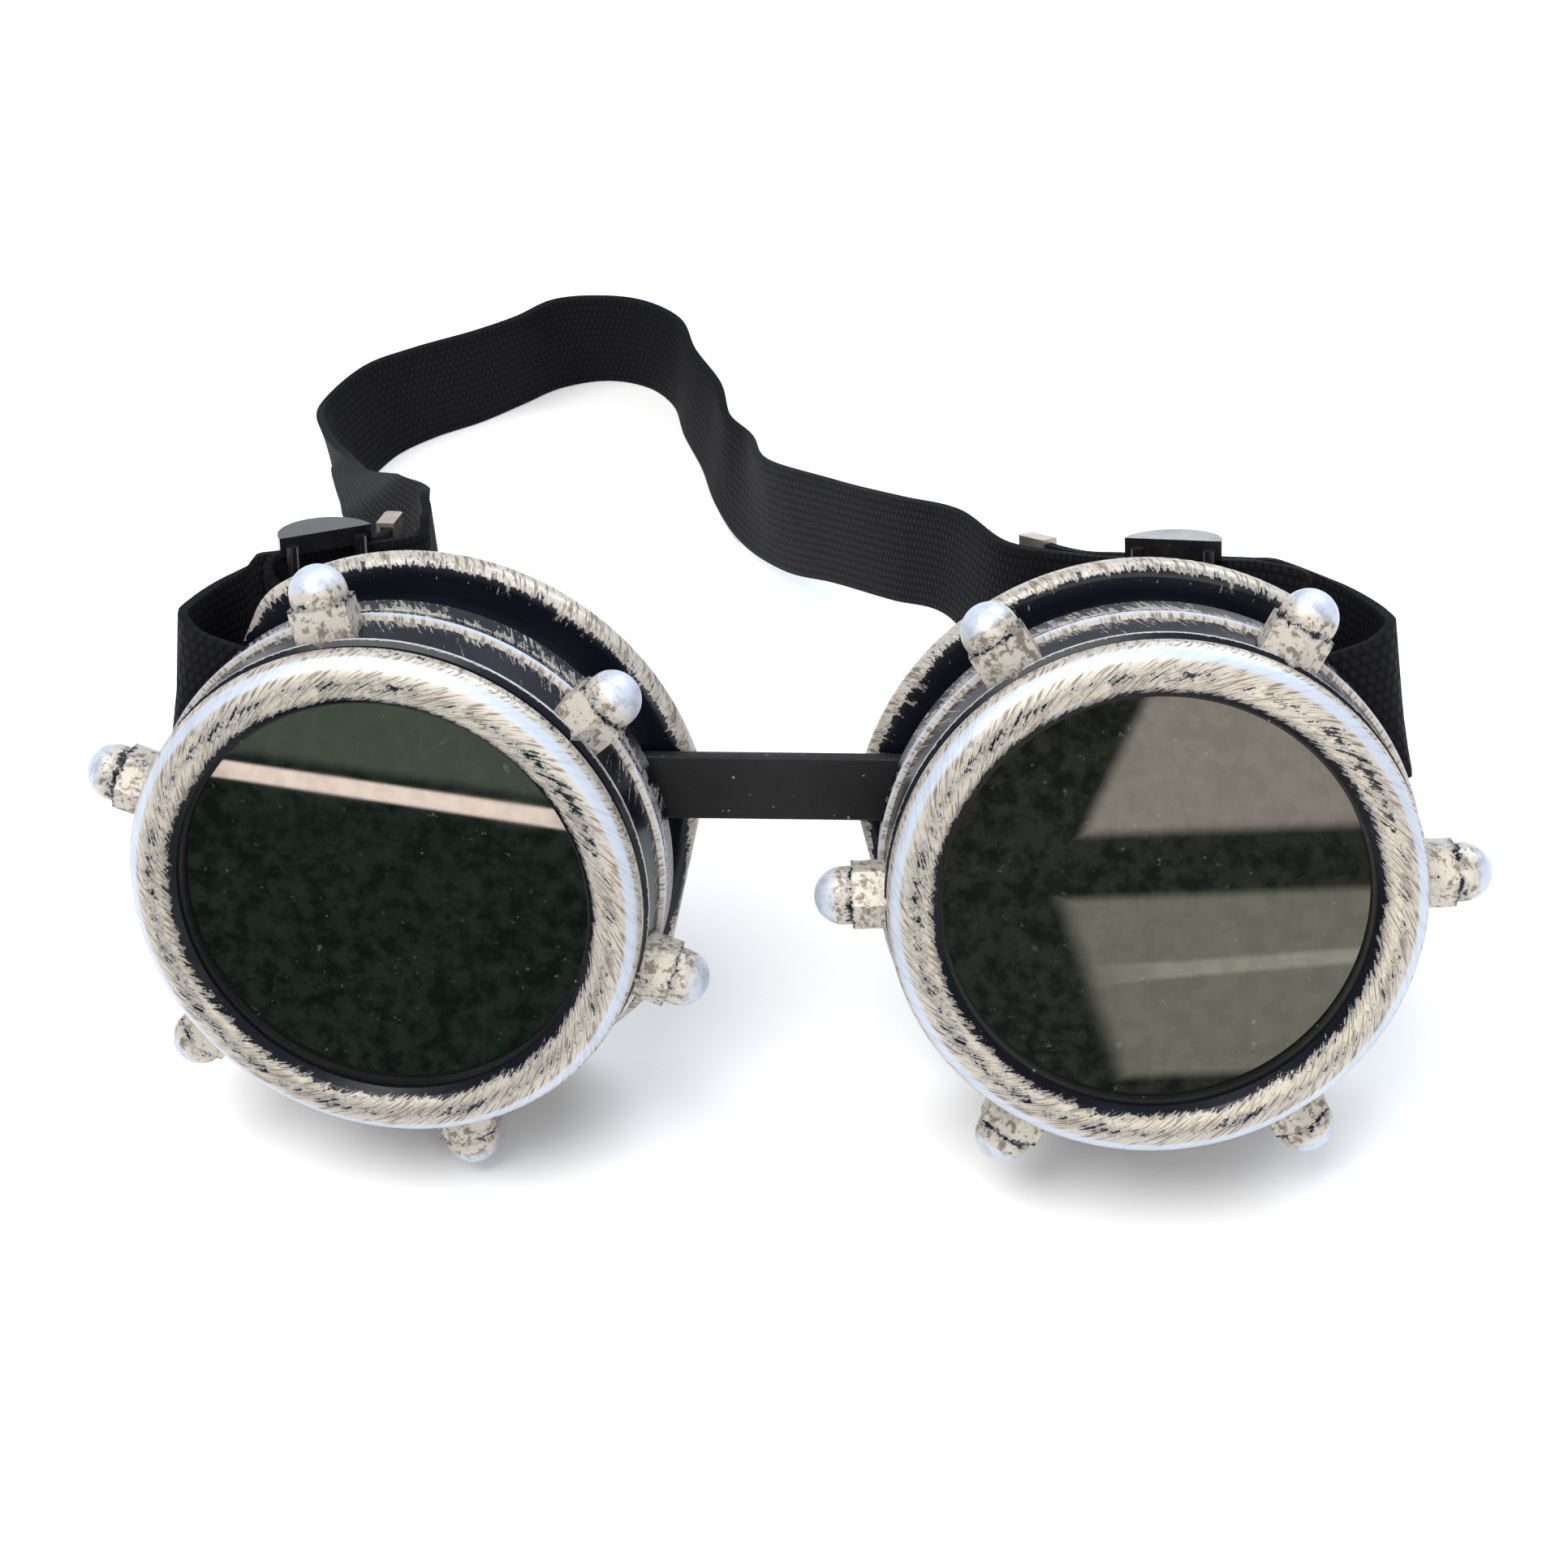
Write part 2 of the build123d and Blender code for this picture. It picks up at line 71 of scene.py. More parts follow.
print("nodes:", len(frame["nodes"]))

# %% [markdown]
# ## The maker's measurements
#
# A cup lies tipped back and turned a little outwards, so its pieces are awkward to place in the scene's
# own directions. It would be possible to model everything upright and turn it afterwards. Here every
# point of a cup is given from the cup's own middle instead: out is towards the temple, up is up the
# lens, and ahead is out of the lens, with 0 at the widest line of the front ring. That keeps the sizes
# readable.

# %% Sizes of the cups and the band
MM = 0.001
CUP_MIDDLE = {"left": Vector((-41.39, -70.076, 37.042)), "right": Vector((40.211, -70.076, 37.894))}
SIGN = {"left": -1, "right": 1}
TOE_OUT = 4.2
PITCH = {"left": 18.9, "right": 24.3}
SIDES = ("left", "right")

BAND_WIDTH = 16.0
BAND_THICK = 1.1
LAYER = 1.25
TEMPLE_ANGLE = 25.0
GROOVE_FLAT = 25.2
WALL = 1.6
SLOT_AHEAD = -16.8
SLOT_SHIFT = 3.0
LOOP_OUT = 27.8
LOOP_UP = 15.8
LOOP_TILT = 6.0
PAD_FRONT = -23.2
PAD_BACK = -25.6

print("band", BAND_WIDTH, "by", BAND_THICK, "mm, pad", round(PAD_FRONT - PAD_BACK, 1), "mm deep")

# %% Places and directions on a cup
def cup_turn(side):
    """Rotation whose columns are the cup's right, up and ahead."""
    yaw = math.radians(SIGN[side] * TOE_OUT)
    lift = math.radians(PITCH[side])
    ahead = Vector((math.sin(yaw) * math.cos(lift), -math.cos(yaw) * math.cos(lift), math.sin(lift)))
    right = Vector((math.cos(yaw), math.sin(yaw), 0))
    up = ahead.cross(right)
    return Matrix((right, up, ahead)).transposed()


def at_cup(side, out, up, ahead):
    """Where a point of one cup is in the scene, in millimetres."""
    return CUP_MIDDLE[side] + cup_turn(side) @ Vector((SIGN[side] * out, up, ahead))


def way_at_cup(side, out, up, ahead):
    """A direction of one cup, in the scene."""
    return (cup_turn(side) @ Vector((SIGN[side] * out, up, ahead))).normalized()


print("left ring middle", at_cup("left", 0, 0, 0))

# %% [markdown]
# ## Helpers for modelling by hand
#
# Blender's operators act on all that is selected, and the frame leaves its own pieces selected. So each
# helper first clears the selection and then picks one piece. The finished pieces sit at the origin,
# unturned and unscaled, with their place in their mesh.

# %% Select, name and settle a piece
def nothing_selected():
    if bpy.context.mode != "OBJECT":
        bpy.ops.object.mode_set(mode="OBJECT")
    bpy.ops.object.select_all(action="DESELECT")


def only(piece):
    nothing_selected()
    piece.select_set(True)
    bpy.context.view_layer.objects.active = piece
    return piece


def new_piece(name):
    piece = bpy.context.active_object
    piece.name = name
    piece.data.name = name
    return only(piece)


def settle(piece):
    """Leaves a finished piece at the origin, unturned and unscaled."""
    only(piece)
    bpy.ops.object.transform_apply(location=True, rotation=True, scale=True)
    return piece


nothing_selected()
print("selected:", len(bpy.context.selected_objects))

# %% Finish a mesh
def apply_all(piece):
    only(piece)
    for modifier in list(piece.modifiers):
        bpy.ops.object.modifier_apply(modifier=modifier.name)
    return piece


def face_outwards(piece):
    only(piece)
    bpy.ops.object.mode_set(mode="EDIT")
    bpy.ops.mesh.select_all(action="SELECT")
    bpy.ops.mesh.normals_make_consistent(inside=False)
    bpy.ops.object.mode_set(mode="OBJECT")


def smooth(piece, degrees):
    only(piece)
    bpy.ops.object.shade_smooth_by_angle(angle=math.radians(degrees))


print("finishing steps:", apply_all.__name__, face_outwards.__name__, smooth.__name__)

# %% [markdown]
# ## The headband's route
#
# The headband is one strip of elastic. At each cup it comes along behind the pad, goes into the cup, out
# through the slot in the wall, round outside the rim and back along itself to its tail. Between the cups
# it lies in a loose curve, standing on its edge. A curve object with a flat profile would twist by
# itself at the tight folds. A list of stops, each a middle and the direction of the strip's width, keeps
# the twist in the maker's hands.

# %% Stops through a cup
RUN_UP = {"left": 19.4, "right": 20.8}
RUN_ANGLE = {"left": 38.0, "right": 20.0}
RUN_START = {"left": 20.6, "right": 15.5}
RUN_END = {"left": 5.5, "right": -5.0}
TAIL_BEND = {"left": 9.2, "right": -4.6}
TAIL_TIP = {"left": (10.2, -45.4), "right": (-10.2, -45.2)}
BEHIND_PAD = 3.0
INNER_PLAY = 0.35


def run_spot(side, out, back=0.0):
    slope = math.radians(RUN_ANGLE[side])
    start = PAD_BACK - BEHIND_PAD
    ahead = start - (RUN_START[side] - out) * math.tan(slope)
    return at_cup(side, out + math.sin(slope) * back, RUN_UP[side], ahead - math.cos(slope) * back)


def strap_end_stops(side):
    a = math.radians(TEMPLE_ANGLE)
    upright = way_at_cup(side, 0, 1, 0)
    slot = way_at_cup(side, -math.sin(a), math.cos(a), 0)
    lean = (upright + slot).normalized()
    inner = GROOVE_FLAT - WALL - BAND_THICK / 2 - INNER_PLAY
    tilt = math.radians(LOOP_TILT)
    across = way_at_cup(side, -math.sin(tilt), math.cos(tilt), 0)

    def spot(r, ahead, lift=0.0):
        shift = SLOT_SHIFT + lift
        out = r * math.cos(a) - shift * math.sin(a)
        up = r * math.sin(a) + shift * math.cos(a)
        return at_cup(side, out, up, ahead)

    def loop_spot(out, up, ahead):
        return at_cup(side, LOOP_OUT + out, LOOP_UP + up, ahead)

    tip_out, tip_ahead = TAIL_TIP[side]
    return [
        (run_spot(side, RUN_END[side]), upright),
        (run_spot(side, RUN_START[side] - 6), upright),
        (run_spot(side, RUN_START[side] - 0.8), upright),
        (at_cup(side, 19.6, RUN_UP[side] - 1.6, PAD_BACK - 2.3), upright),
        (at_cup(side, 18.9, RUN_UP[side] - 3.6, PAD_BACK - 1.7), lean),
        (spot(inner - 0.7, PAD_BACK - 0.4, 1.0), slot),
        (spot(inner, PAD_BACK + 3.0), slot),
        (spot(inner, SLOT_AHEAD - 1.8), slot),
        (spot(inner + 0.5, SLOT_AHEAD - 0.4), slot),
        (spot(inner + 1.4, SLOT_AHEAD), slot),
        (spot(GROOVE_FLAT + 0.8, SLOT_AHEAD), slot),
        (loop_spot(-1.2, -0.9, SLOT_AHEAD - 0.4), across + slot),
        (loop_spot(0, 0, SLOT_AHEAD - 2.6), across),
        (loop_spot(0, 0.3, PAD_BACK + 2.4), across),
        (loop_spot(-1.6, 1.0, PAD_BACK - 1.8), across),
        (loop_spot(-4.6, 2.2, PAD_BACK - 3.9), upright + across),
        (run_spot(side, RUN_START[side] + 0.2, LAYER), upright),
        (run_spot(side, RUN_START[side] - 2.0, LAYER), upright),
        (run_spot(side, TAIL_BEND[side] + 4, LAYER), upright),
        (run_spot(side, TAIL_BEND[side], LAYER), upright),
        (at_cup(side, tip_out, RUN_UP[side], tip_ahead), upright),
    ]


print("stops through a cup:", len(strap_end_stops("left")))

# %% Stops of the long run
LOW_EDGE = [
    (-42.9, 47, 34.8), (-43, 51, 34.2), (-44.6, 56, 34), (-49.5, 61.5, 34.5), (-57, 69, 34.5),
    (-61, 79, 30.5), (-65.5, 92, 24), (-70, 107, 15.5), (-72.5, 117, 6.5), (-71.5, 125, 0.7),
    (-68, 132.5, 0.15), (-63, 137, 0.15), (-56.5, 141, 0.15), (-51, 145.5, 0.15), (-45.5, 150, 0.15),
    (-38, 152, 0.15), (-31.5, 150, 0.15), (-27, 145, 0.15), (-24.5, 137, 0.15), (-21, 128.5, 0.15),
    (-18.5, 120.5, 0.15), (-14.5, 111, 1), (-6.5, 94, 8.5), (2, 79.5, 17.5), (10.5, 66.5, 25),
    (17, 58.5, 29.5), (23.8, 46.5, 31.9),
]
HIGH_EDGE = [
    (-42.6, 49.2, 50.6), (-42.8, 51.4, 50.2), (-43.7, 54.4, 49.9), (-44.3, 57.5, 48.4), (-48.5, 64, 45),
    (-52, 71.5, 40), (-57.5, 82.5, 32.5), (-65, 97.5, 24.5), (-71, 109.5, 20), (-74.5, 122.5, 15.8),
    (-70, 132, 15.8), (-64, 136, 16), (-55.5, 140.5, 16), (-49.5, 144.5, 16), (-44.5, 149, 16),
    (-37, 150, 15.9), (-31, 148.5, 15.9), (-25.5, 144, 15.9), (-22.5, 136, 15.9), (-18, 127.5, 15.7),
    (-16, 119.5, 15.8), (-12.5, 114, 16.5), (-8.5, 97.5, 23.9), (2.5, 79.5, 33.5), (11.5, 66, 41),
    (18.5, 57.5, 45.4), (24.6, 48, 47.8),
]
BASE_MOVE = Vector((-0.59, -70.076, 0.063))


def long_run_stops():
    stops = []
    for low, high in zip(LOW_EDGE, HIGH_EDGE):
        low_point = Vector(low) + BASE_MOVE
        high_point = Vector(high) + BASE_MOVE
        stops.append(((low_point + high_point) / 2, (high_point - low_point).normalized()))
    return stops


def whole_route():
    left = strap_end_stops("left")
    right = strap_end_stops("right")
    return left[::-1] + long_run_stops() + right


print("stops in all:", len(whole_route()))

# %% A smooth walk along the stops
def eased(a, b, c, d, t, ta, tb, tc, td):
    """Smooth curve from b to c that knows its neighbours' spacing."""
    a1 = a.lerp(b, (t - ta) / (tb - ta))
    a2 = b.lerp(c, (t - tb) / (tc - tb))
    a3 = c.lerp(d, (t - tc) / (td - tc))
    b1 = a1.lerp(a2, (t - ta) / (tc - ta))
    b2 = a2.lerp(a3, (t - tb) / (td - tb))
    return b1.lerp(b2, (t - tb) / (tc - tb))


def walk_route(stops, pace):
    """Middles and width directions at an even pace along the smooth route."""
    middles = [stop[0] for stop in stops]
    widths = [stop[1].normalized() for stop in stops]
    middles = [middles[0] * 2 - middles[1]] + middles + [middles[-1] * 2 - middles[-2]]
    widths = [widths[0]] + widths + [widths[-1]]
    times = [0.0]
    for before, after in zip(middles, middles[1:]):
        times.append(times[-1] + math.sqrt((after - before).length))
    walked = []
    for i in range(1, len(middles) - 2):
        length = (middles[i + 1] - middles[i]).length
        steps = max(2, round(length / pace))
        for step in range(steps):
            t = times[i] + (times[i + 1] - times[i]) * step / steps
            spot = eased(*middles[i - 1:i + 3], t, *times[i - 1:i + 3])
            width = eased(*widths[i - 1:i + 3], t, *times[i - 1:i + 3])
            walked.append((spot, width.normalized()))
    walked.append((middles[-2], widths[-1]))
    return walked


PACE = 1.1
route = walk_route(whole_route(), PACE)
band_length = sum((b[0] - a[0]).length for a, b in zip(route, route[1:]))
print("headband stops", len(route), "length", round(band_length), "mm")

# %% [markdown]
# ## The headband
#
# Real elastic webbing is a thin flat weave with rounded edges. It could be swept along a curve, but then
# the weave has no map that follows it. Here a flat grid is laid along the route row by row, thickened,
# and its long edges are rounded off. The weave follows the grid's own map, so it runs along the strip
# wherever the strip goes.

# %% Lay a grid along the route
ACROSS = 6
ROW_FINENESS = 1e4


def lay_along(piece, walked, width):
    """Moves the grid's rows onto the route, one row per stop."""
    rows = {}
    for vertex in piece.data.vertices:
        rows.setdefault(round(vertex.co.x * ROW_FINENESS), []).append(vertex)
    for key, (middle, across) in zip(sorted(rows), walked):
        row = sorted(rows[key], key=lambda v: v.co.y)
        for n, vertex in enumerate(row):
            share = n / (len(row) - 1) - 0.5
            vertex.co = (middle + across * width * share) * MM


print("grid rows", len(route), "by", ACROSS, "across")

# %% Make the headband
BAND_EDGE = 0.3
SHARP_CORNER = 60


def make_headband():
    nothing_selected()
    rows = len(route) - 1
    bpy.ops.mesh.primitive_grid_add(x_subdivisions=rows, y_subdivisions=ACROSS, size=2, calc_uvs=True)
    band = new_piece("elastic_headband")
    lay_along(band, route, BAND_WIDTH)
    thick = band.modifiers.new("thickness", "SOLIDIFY")
    thick.thickness = BAND_THICK * MM
    thick.offset = 0
    edge = band.modifiers.new("soft edges", "BEVEL")
    edge.width = BAND_EDGE * MM
    edge.segments = 2
    edge.limit_method = "ANGLE"
    edge.angle_limit = math.radians(SHARP_CORNER)
    apply_all(band)
    face_outwards(band)
    smooth(band, 45)
    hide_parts("headband", "left_strap_end", "right_strap_end")
    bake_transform(band)
    return band


headband = make_headband()
print("headband faces", len(headband.data.polygons))

# %% [markdown]
# ## The bridge strip
#
# A flat rubber strip goes through both nose slots, with a thicker head inside each cup that stops it
# from pulling out. The block is cut across into short lengths first. Then the faces at its two ends are
# pushed out to make the heads, and all the edges are rounded.

# %% Ends of the bridge strip
BRIDGE_HEIGHT = 7.2
BRIDGE_THICK = 2.0
BRIDGE_UP = 7.8
BRIDGE_AHEAD = -16.8
HEAD_SETBACK = 3.6
GROOVE_DIAMETER = 55.0


def bridge_ends():
    reach = math.sqrt((GROOVE_DIAMETER / 2 - WALL) ** 2 - BRIDGE_UP ** 2) - HEAD_SETBACK
    return [at_cup(side, -reach, BRIDGE_UP, BRIDGE_AHEAD) for side in SIDES]


print("bridge length", round((bridge_ends()[1] - bridge_ends()[0]).length, 1), "mm")

# %% Make the bridge strip
BRIDGE_CUTS = 28
HEAD_GROWTH = 2.0
BRIDGE_EDGE = 0.28


def make_bridge():
    left_end, right_end = bridge_ends()
    along = (right_end - left_end).normalized()
    up = (way_at_cup("left", 0, 1, 0) + way_at_cup("right", 0, 1, 0)).normalized()
    through = along.cross(up).normalized()
    turn = Matrix((along, up, through)).transposed().to_4x4()
    length = (right_end - left_end).length
    nothing_selected()
    bpy.ops.mesh.primitive_cube_add(size=1)
    strip = new_piece("rubber_bridge_strip")
    strip.scale = (length * MM, BRIDGE_HEIGHT * MM, BRIDGE_THICK * MM)
    settle(strip)
    bpy.ops.object.mode_set(mode="EDIT")
    for n in range(1, BRIDGE_CUTS):
        x = (n / BRIDGE_CUTS - 0.5) * length * MM
        bpy.ops.mesh.select_all(action="SELECT")
        bpy.ops.mesh.bisect(plane_co=(x, 0, 0), plane_no=(1, 0, 0))
    bpy.ops.mesh.select_all(action="DESELECT")
    bpy.ops.mesh.select_mode(type="FACE")
    bpy.ops.object.mode_set(mode="OBJECT")
    for face in strip.data.polygons:
        near_end = abs(face.center.x) > (length / 2 - length / BRIDGE_CUTS * 1.1) * MM
        face.select = near_end and abs(face.normal.z) > 0.9
    bpy.ops.object.mode_set(mode="EDIT")
    bpy.ops.mesh.extrude_faces_move(TRANSFORM_OT_shrink_fatten={"value": HEAD_GROWTH * MM})
    bpy.ops.object.mode_set(mode="OBJECT")
    edge = strip.modifiers.new("soft edges", "BEVEL")
    edge.width = BRIDGE_EDGE * MM
    edge.segments = 3
    edge.limit_method = "ANGLE"
    apply_all(strip)
    middle = (left_end + right_end) / 2 * MM
    strip.matrix_world = Matrix.Translation(middle) @ turn
    settle(strip)
    face_outwards(strip)
    smooth(strip, 40)
    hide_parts("bridge_strip")
    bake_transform(strip)
    return strip


bridge = make_bridge()
print("bridge faces", len(bridge.data.polygons))

# %% [markdown]
# ## The face pads
#
# A soft foam ring sits behind each rim and rests on the face. Its outline follows the rim, round with a
# flat at the nose and one at the temple, and its back swells softly. A simulation could inflate it, but
# so thin a ring only needs its cross-section eased. So a ring primitive is moved onto the outline point
# by point, with a slight unevenness along it.

# %% Outline of a pad
PAD_OUTER = 30.2
PAD_BORE = 26.1
NOSE_FLAT = 27.8
TEMPLE_PAD_FLAT = 26.0
BORE_FLAT = 23.8
NOSE_WAY = 192.0
CORNER_EASE = 1.6
NO_NOSE_FLAT = 60


def rim_reach(angle, circle, nose, temple):
    """How far the outline is from the middle, corners eased."""
    reaches = [circle]
    for way, flat in ((NOSE_WAY, nose), (TEMPLE_ANGLE, temple)):
        off = math.cos(math.radians(angle - way))
        if off > 0.3:
            reaches.append(flat / off)
    return -math.log(sum(math.exp(-r * CORNER_EASE) for r in reaches)) / CORNER_EASE


temple_reach = rim_reach(TEMPLE_ANGLE, PAD_OUTER, NOSE_FLAT, TEMPLE_PAD_FLAT)
print("pad reach at the temple", round(temple_reach, 1), "mm")

# %% Make the face pads
SIDE_FULLNESS = 0.55
BACK_FULLNESS = 0.6
BEHIND_RIM = 0.1
RIM_PLAY = 0.02


def make_face_pad(side):
    nothing_selected()
    bpy.ops.mesh.primitive_torus_add(
        major_segments=160, minor_segments=28, major_radius=1.0, minor_radius=0.25
    )
    pad = new_piece(side + "_foam_face_pad")
    for vertex in pad.data.vertices:
        x, y, z = vertex.co
        angle = math.degrees(math.atan2(y, x))
        turn = math.atan2(z, math.hypot(x, y) - 1.0)
        outer = rim_reach(angle, PAD_OUTER, NOSE_FLAT, TEMPLE_PAD_FLAT)
        bore = rim_reach(angle, PAD_BORE, NO_NOSE_FLAT, BORE_FLAT)
        half = (outer - bore) / 2
        wave = 0.05 * math.sin(math.radians(angle) * 17) + 0.04 * math.sin(math.radians(angle) * 29 + 1)
        cross = math.copysign(abs(math.cos(turn)) ** SIDE_FULLNESS, math.cos(turn))
        rise = math.copysign(abs(math.sin(turn)) ** BACK_FULLNESS, math.sin(turn))
        r = (outer + bore) / 2 + half * cross
        ahead = (PAD_FRONT + PAD_BACK) / 2 + rise * (PAD_FRONT - PAD_BACK - BEHIND_RIM) / 2 * (1 + wave)
        out = r * math.cos(math.radians(angle))
        up = r * math.sin(math.radians(angle))
        vertex.co = at_cup(side, out, up, min(ahead, PAD_FRONT - RIM_PLAY)) * MM
    face_outwards(pad)
    smooth(pad, 60)
    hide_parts(side + "_face_pad")
    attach(pad, side + "_cup")
    return pad


pads = {side: make_face_pad(side) for side in SIDES}
print("pads", [len(pad.data.polygons) for pad in pads.values()])

# %% [markdown]
# ## Finishes
#
# Each finish is a small set of nodes. Writing every node and link out would be long and hard to read, so
# a bench adds nodes to a tree and joins them. Effects that several finishes share are node groups, which
# put out only colours, values and masks.

# %% A new node group
def new_group(name, inputs, outputs):
    group = bpy.data.node_groups.new(name, "ShaderNodeTree")
    for socket, kind, value in inputs:
        made = group.interface.new_socket(socket, in_out="INPUT", socket_type=kind)
        if value is not None:
            made.default_value = value
    for socket, kind in outputs:
        group.interface.new_socket(socket, in_out="OUTPUT", socket_type=kind)
    return group, group.nodes.new("NodeGroupInput"), group.nodes.new("NodeGroupOutput")


print("node groups so far", len(bpy.data.node_groups))

# %% A bench for nodes
class Bench:
    """Adds nodes to a tree and joins them up."""

    def __init__(self, tree):
        self.tree = tree

    def add(self, kind, **settings):
        node = self.tree.nodes.new(kind)
        for name, value in settings.items():
            setattr(node, name, value)
        return node

    def join(self, source, target):
        self.tree.links.new(source, target)

    def math(self, operation, a, b=None, c=None, clamp=False):
        node = self.add("ShaderNodeMath", operation=operation, use_clamp=clamp)
        for slot, value in zip(node.inputs, (a, b, c)):
            if value is None:
                continue
            if isinstance(value, (int, float)):
                slot.default_value = value
            else:
                self.join(value, slot)
        return node.outputs[0]

    def noise(self, vector, scale, detail=3.0, roughness=0.5, distortion=0.0):
        node = self.add("ShaderNodeTexNoise")
        node.inputs["Scale"].default_value = scale
        node.inputs["Detail"].default_value = detail
        node.inputs["Roughness"].default_value = roughness
        node.inputs["Distortion"].default_value = distortion
        self.join(vector, node.inputs["Vector"])
        return node.outputs["Fac"]

    def spread(self, value, low, high, new_low=0.0, new_high=1.0):
        node = self.add("ShaderNodeMapRange", interpolation_type="SMOOTHSTEP")
        node.inputs["From Min"].default_value = low
        node.inputs["From Max"].default_value = high
        node.inputs["To Min"].default_value = new_low
        node.inputs["To Max"].default_value = new_high
        self.join(value, node.inputs["Value"])
        return node.outputs["Result"]

    def vector(self, x, y, z):
        node = self.add("ShaderNodeCombineXYZ")
        for slot, value in zip(node.inputs, (x, y, z)):
            if isinstance(value, (int, float)):
                slot.default_value = value
            else:
                self.join(value, slot)
        return node.outputs[0]

    def mix(self, factor, a, b):
        node = self.add("ShaderNodeMix", data_type="RGBA")
        for slot, value in ((node.inputs[0], factor), (node.inputs[6], a), (node.inputs[7], b)):
            if isinstance(value, (int, float)):
                slot.default_value = value
            elif isinstance(value, tuple):
                slot.default_value = (*value, 1.0)
            else:
                self.join(value, slot)
        return node.outputs[2]

    def bump(self, height, strength, distance):
        node = self.add("ShaderNodeBump")
        node.inputs["Strength"].default_value = strength
        node.inputs["Distance"].default_value = distance
        self.join(height, node.inputs["Height"])
        return node.outputs["Normal"]


print("bench tools:", [tool for tool in dir(Bench) if not tool.startswith("_")])

# %% Materials for pieces
def fresh_material(name):
    material = bpy.data.materials.new(name)
    material.use_nodes = True
    bench = Bench(material.node_tree)
    shader = material.node_tree.nodes["Principled BSDF"]
    return material, bench, shader


def give(piece, material):
    piece.data.materials.clear()
    piece.data.materials.append(material)
    for face in piece.data.polygons:
        face.material_index = 0


def use_group(bench, group):
    node = bench.add("ShaderNodeGroup")
    node.node_tree = group
    return node


print("materials so far", len(bpy.data.materials))

# %% [markdown]
# ## Measuring round a cup
#
# The paint changes with the place on the cup: towards an edge, round the rim, along the collar. The
# pattern could be painted on a map, but the CAD pieces have none. A node group turns a point of the
# piece into the cup's own measurements instead, so the same numbers as in the drawing place the paint.

# %% Cup measurements for a material
ROUND_RADIUS = 28.0


def cup_measure_group(side):
    """Object position to: way round the cup, reach from its axis, and ahead, all in millimetres."""
    outputs = [(name, "NodeSocketFloat") for name in ("Round", "Reach", "Ahead")]
    outputs.append(("Place", "NodeSocketVector"))
    group, _, out = new_group(side + " cup measure", [], outputs)
    bench = Bench(group)
    where = bench.add("ShaderNodeTexCoord")
    shift = bench.add("ShaderNodeMapping", vector_type="TEXTURE")
    shift.inputs["Location"].default_value = CUP_MIDDLE[side] * MM
    shift.inputs["Rotation"].default_value = cup_turn(side).to_euler("XYZ")
    shift.inputs["Scale"].default_value = (MM, MM, MM)
    bench.join(where.outputs["Object"], shift.inputs["Vector"])
    parts = bench.add("ShaderNodeSeparateXYZ")
    bench.join(shift.outputs[0], parts.inputs[0])
    x, y, z = parts.outputs
    reach = bench.math("SQRT", bench.math("ADD", bench.math("MULTIPLY", x, x), bench.math("MULTIPLY", y, y)))
    angle = bench.math("ARCTAN2", y, x)
    bench.join(bench.math("MULTIPLY", angle, ROUND_RADIUS), out.inputs["Round"])
    bench.join(reach, out.inputs["Reach"])
    bench.join(z, out.inputs["Ahead"])
    bench.join(shift.outputs[0], out.inputs["Place"])
    return group


measure = {side: cup_measure_group(side) for side in SIDES}
print("measured cups:", list(measure))

# %% [markdown]
# ## Dry-brushed silver
#
# The real finish is black plastic with silver paint dragged over it with an almost dry brush. Where the
# brush pressed, the silver is thick; where the cover is highest, on the outer roundings and ridges, it is
# given a painted bluish-white highlight. Where the brush only skimmed, it is cream with brown strokes, and
# between the hairs the black shows with a crisp edge. One noise is stretched into brush hairs, another
# is grit, and the silver is there wherever their sum is above a line that the cover sets.

# %% The dry brush group
BLACK_BASE = (0.003, 0.004, 0.008)
THIN_SMEAR = (0.33, 0.32, 0.30)
CREAM = (0.50, 0.46, 0.40)
# The bluish white below is a painted highlight, the sky reflection on the silver, not a paint colour.
HIGHLIGHT_BLUE_WHITE = (0.50, 0.56, 0.66)
BROWN_STROKE = (0.15, 0.12, 0.095)


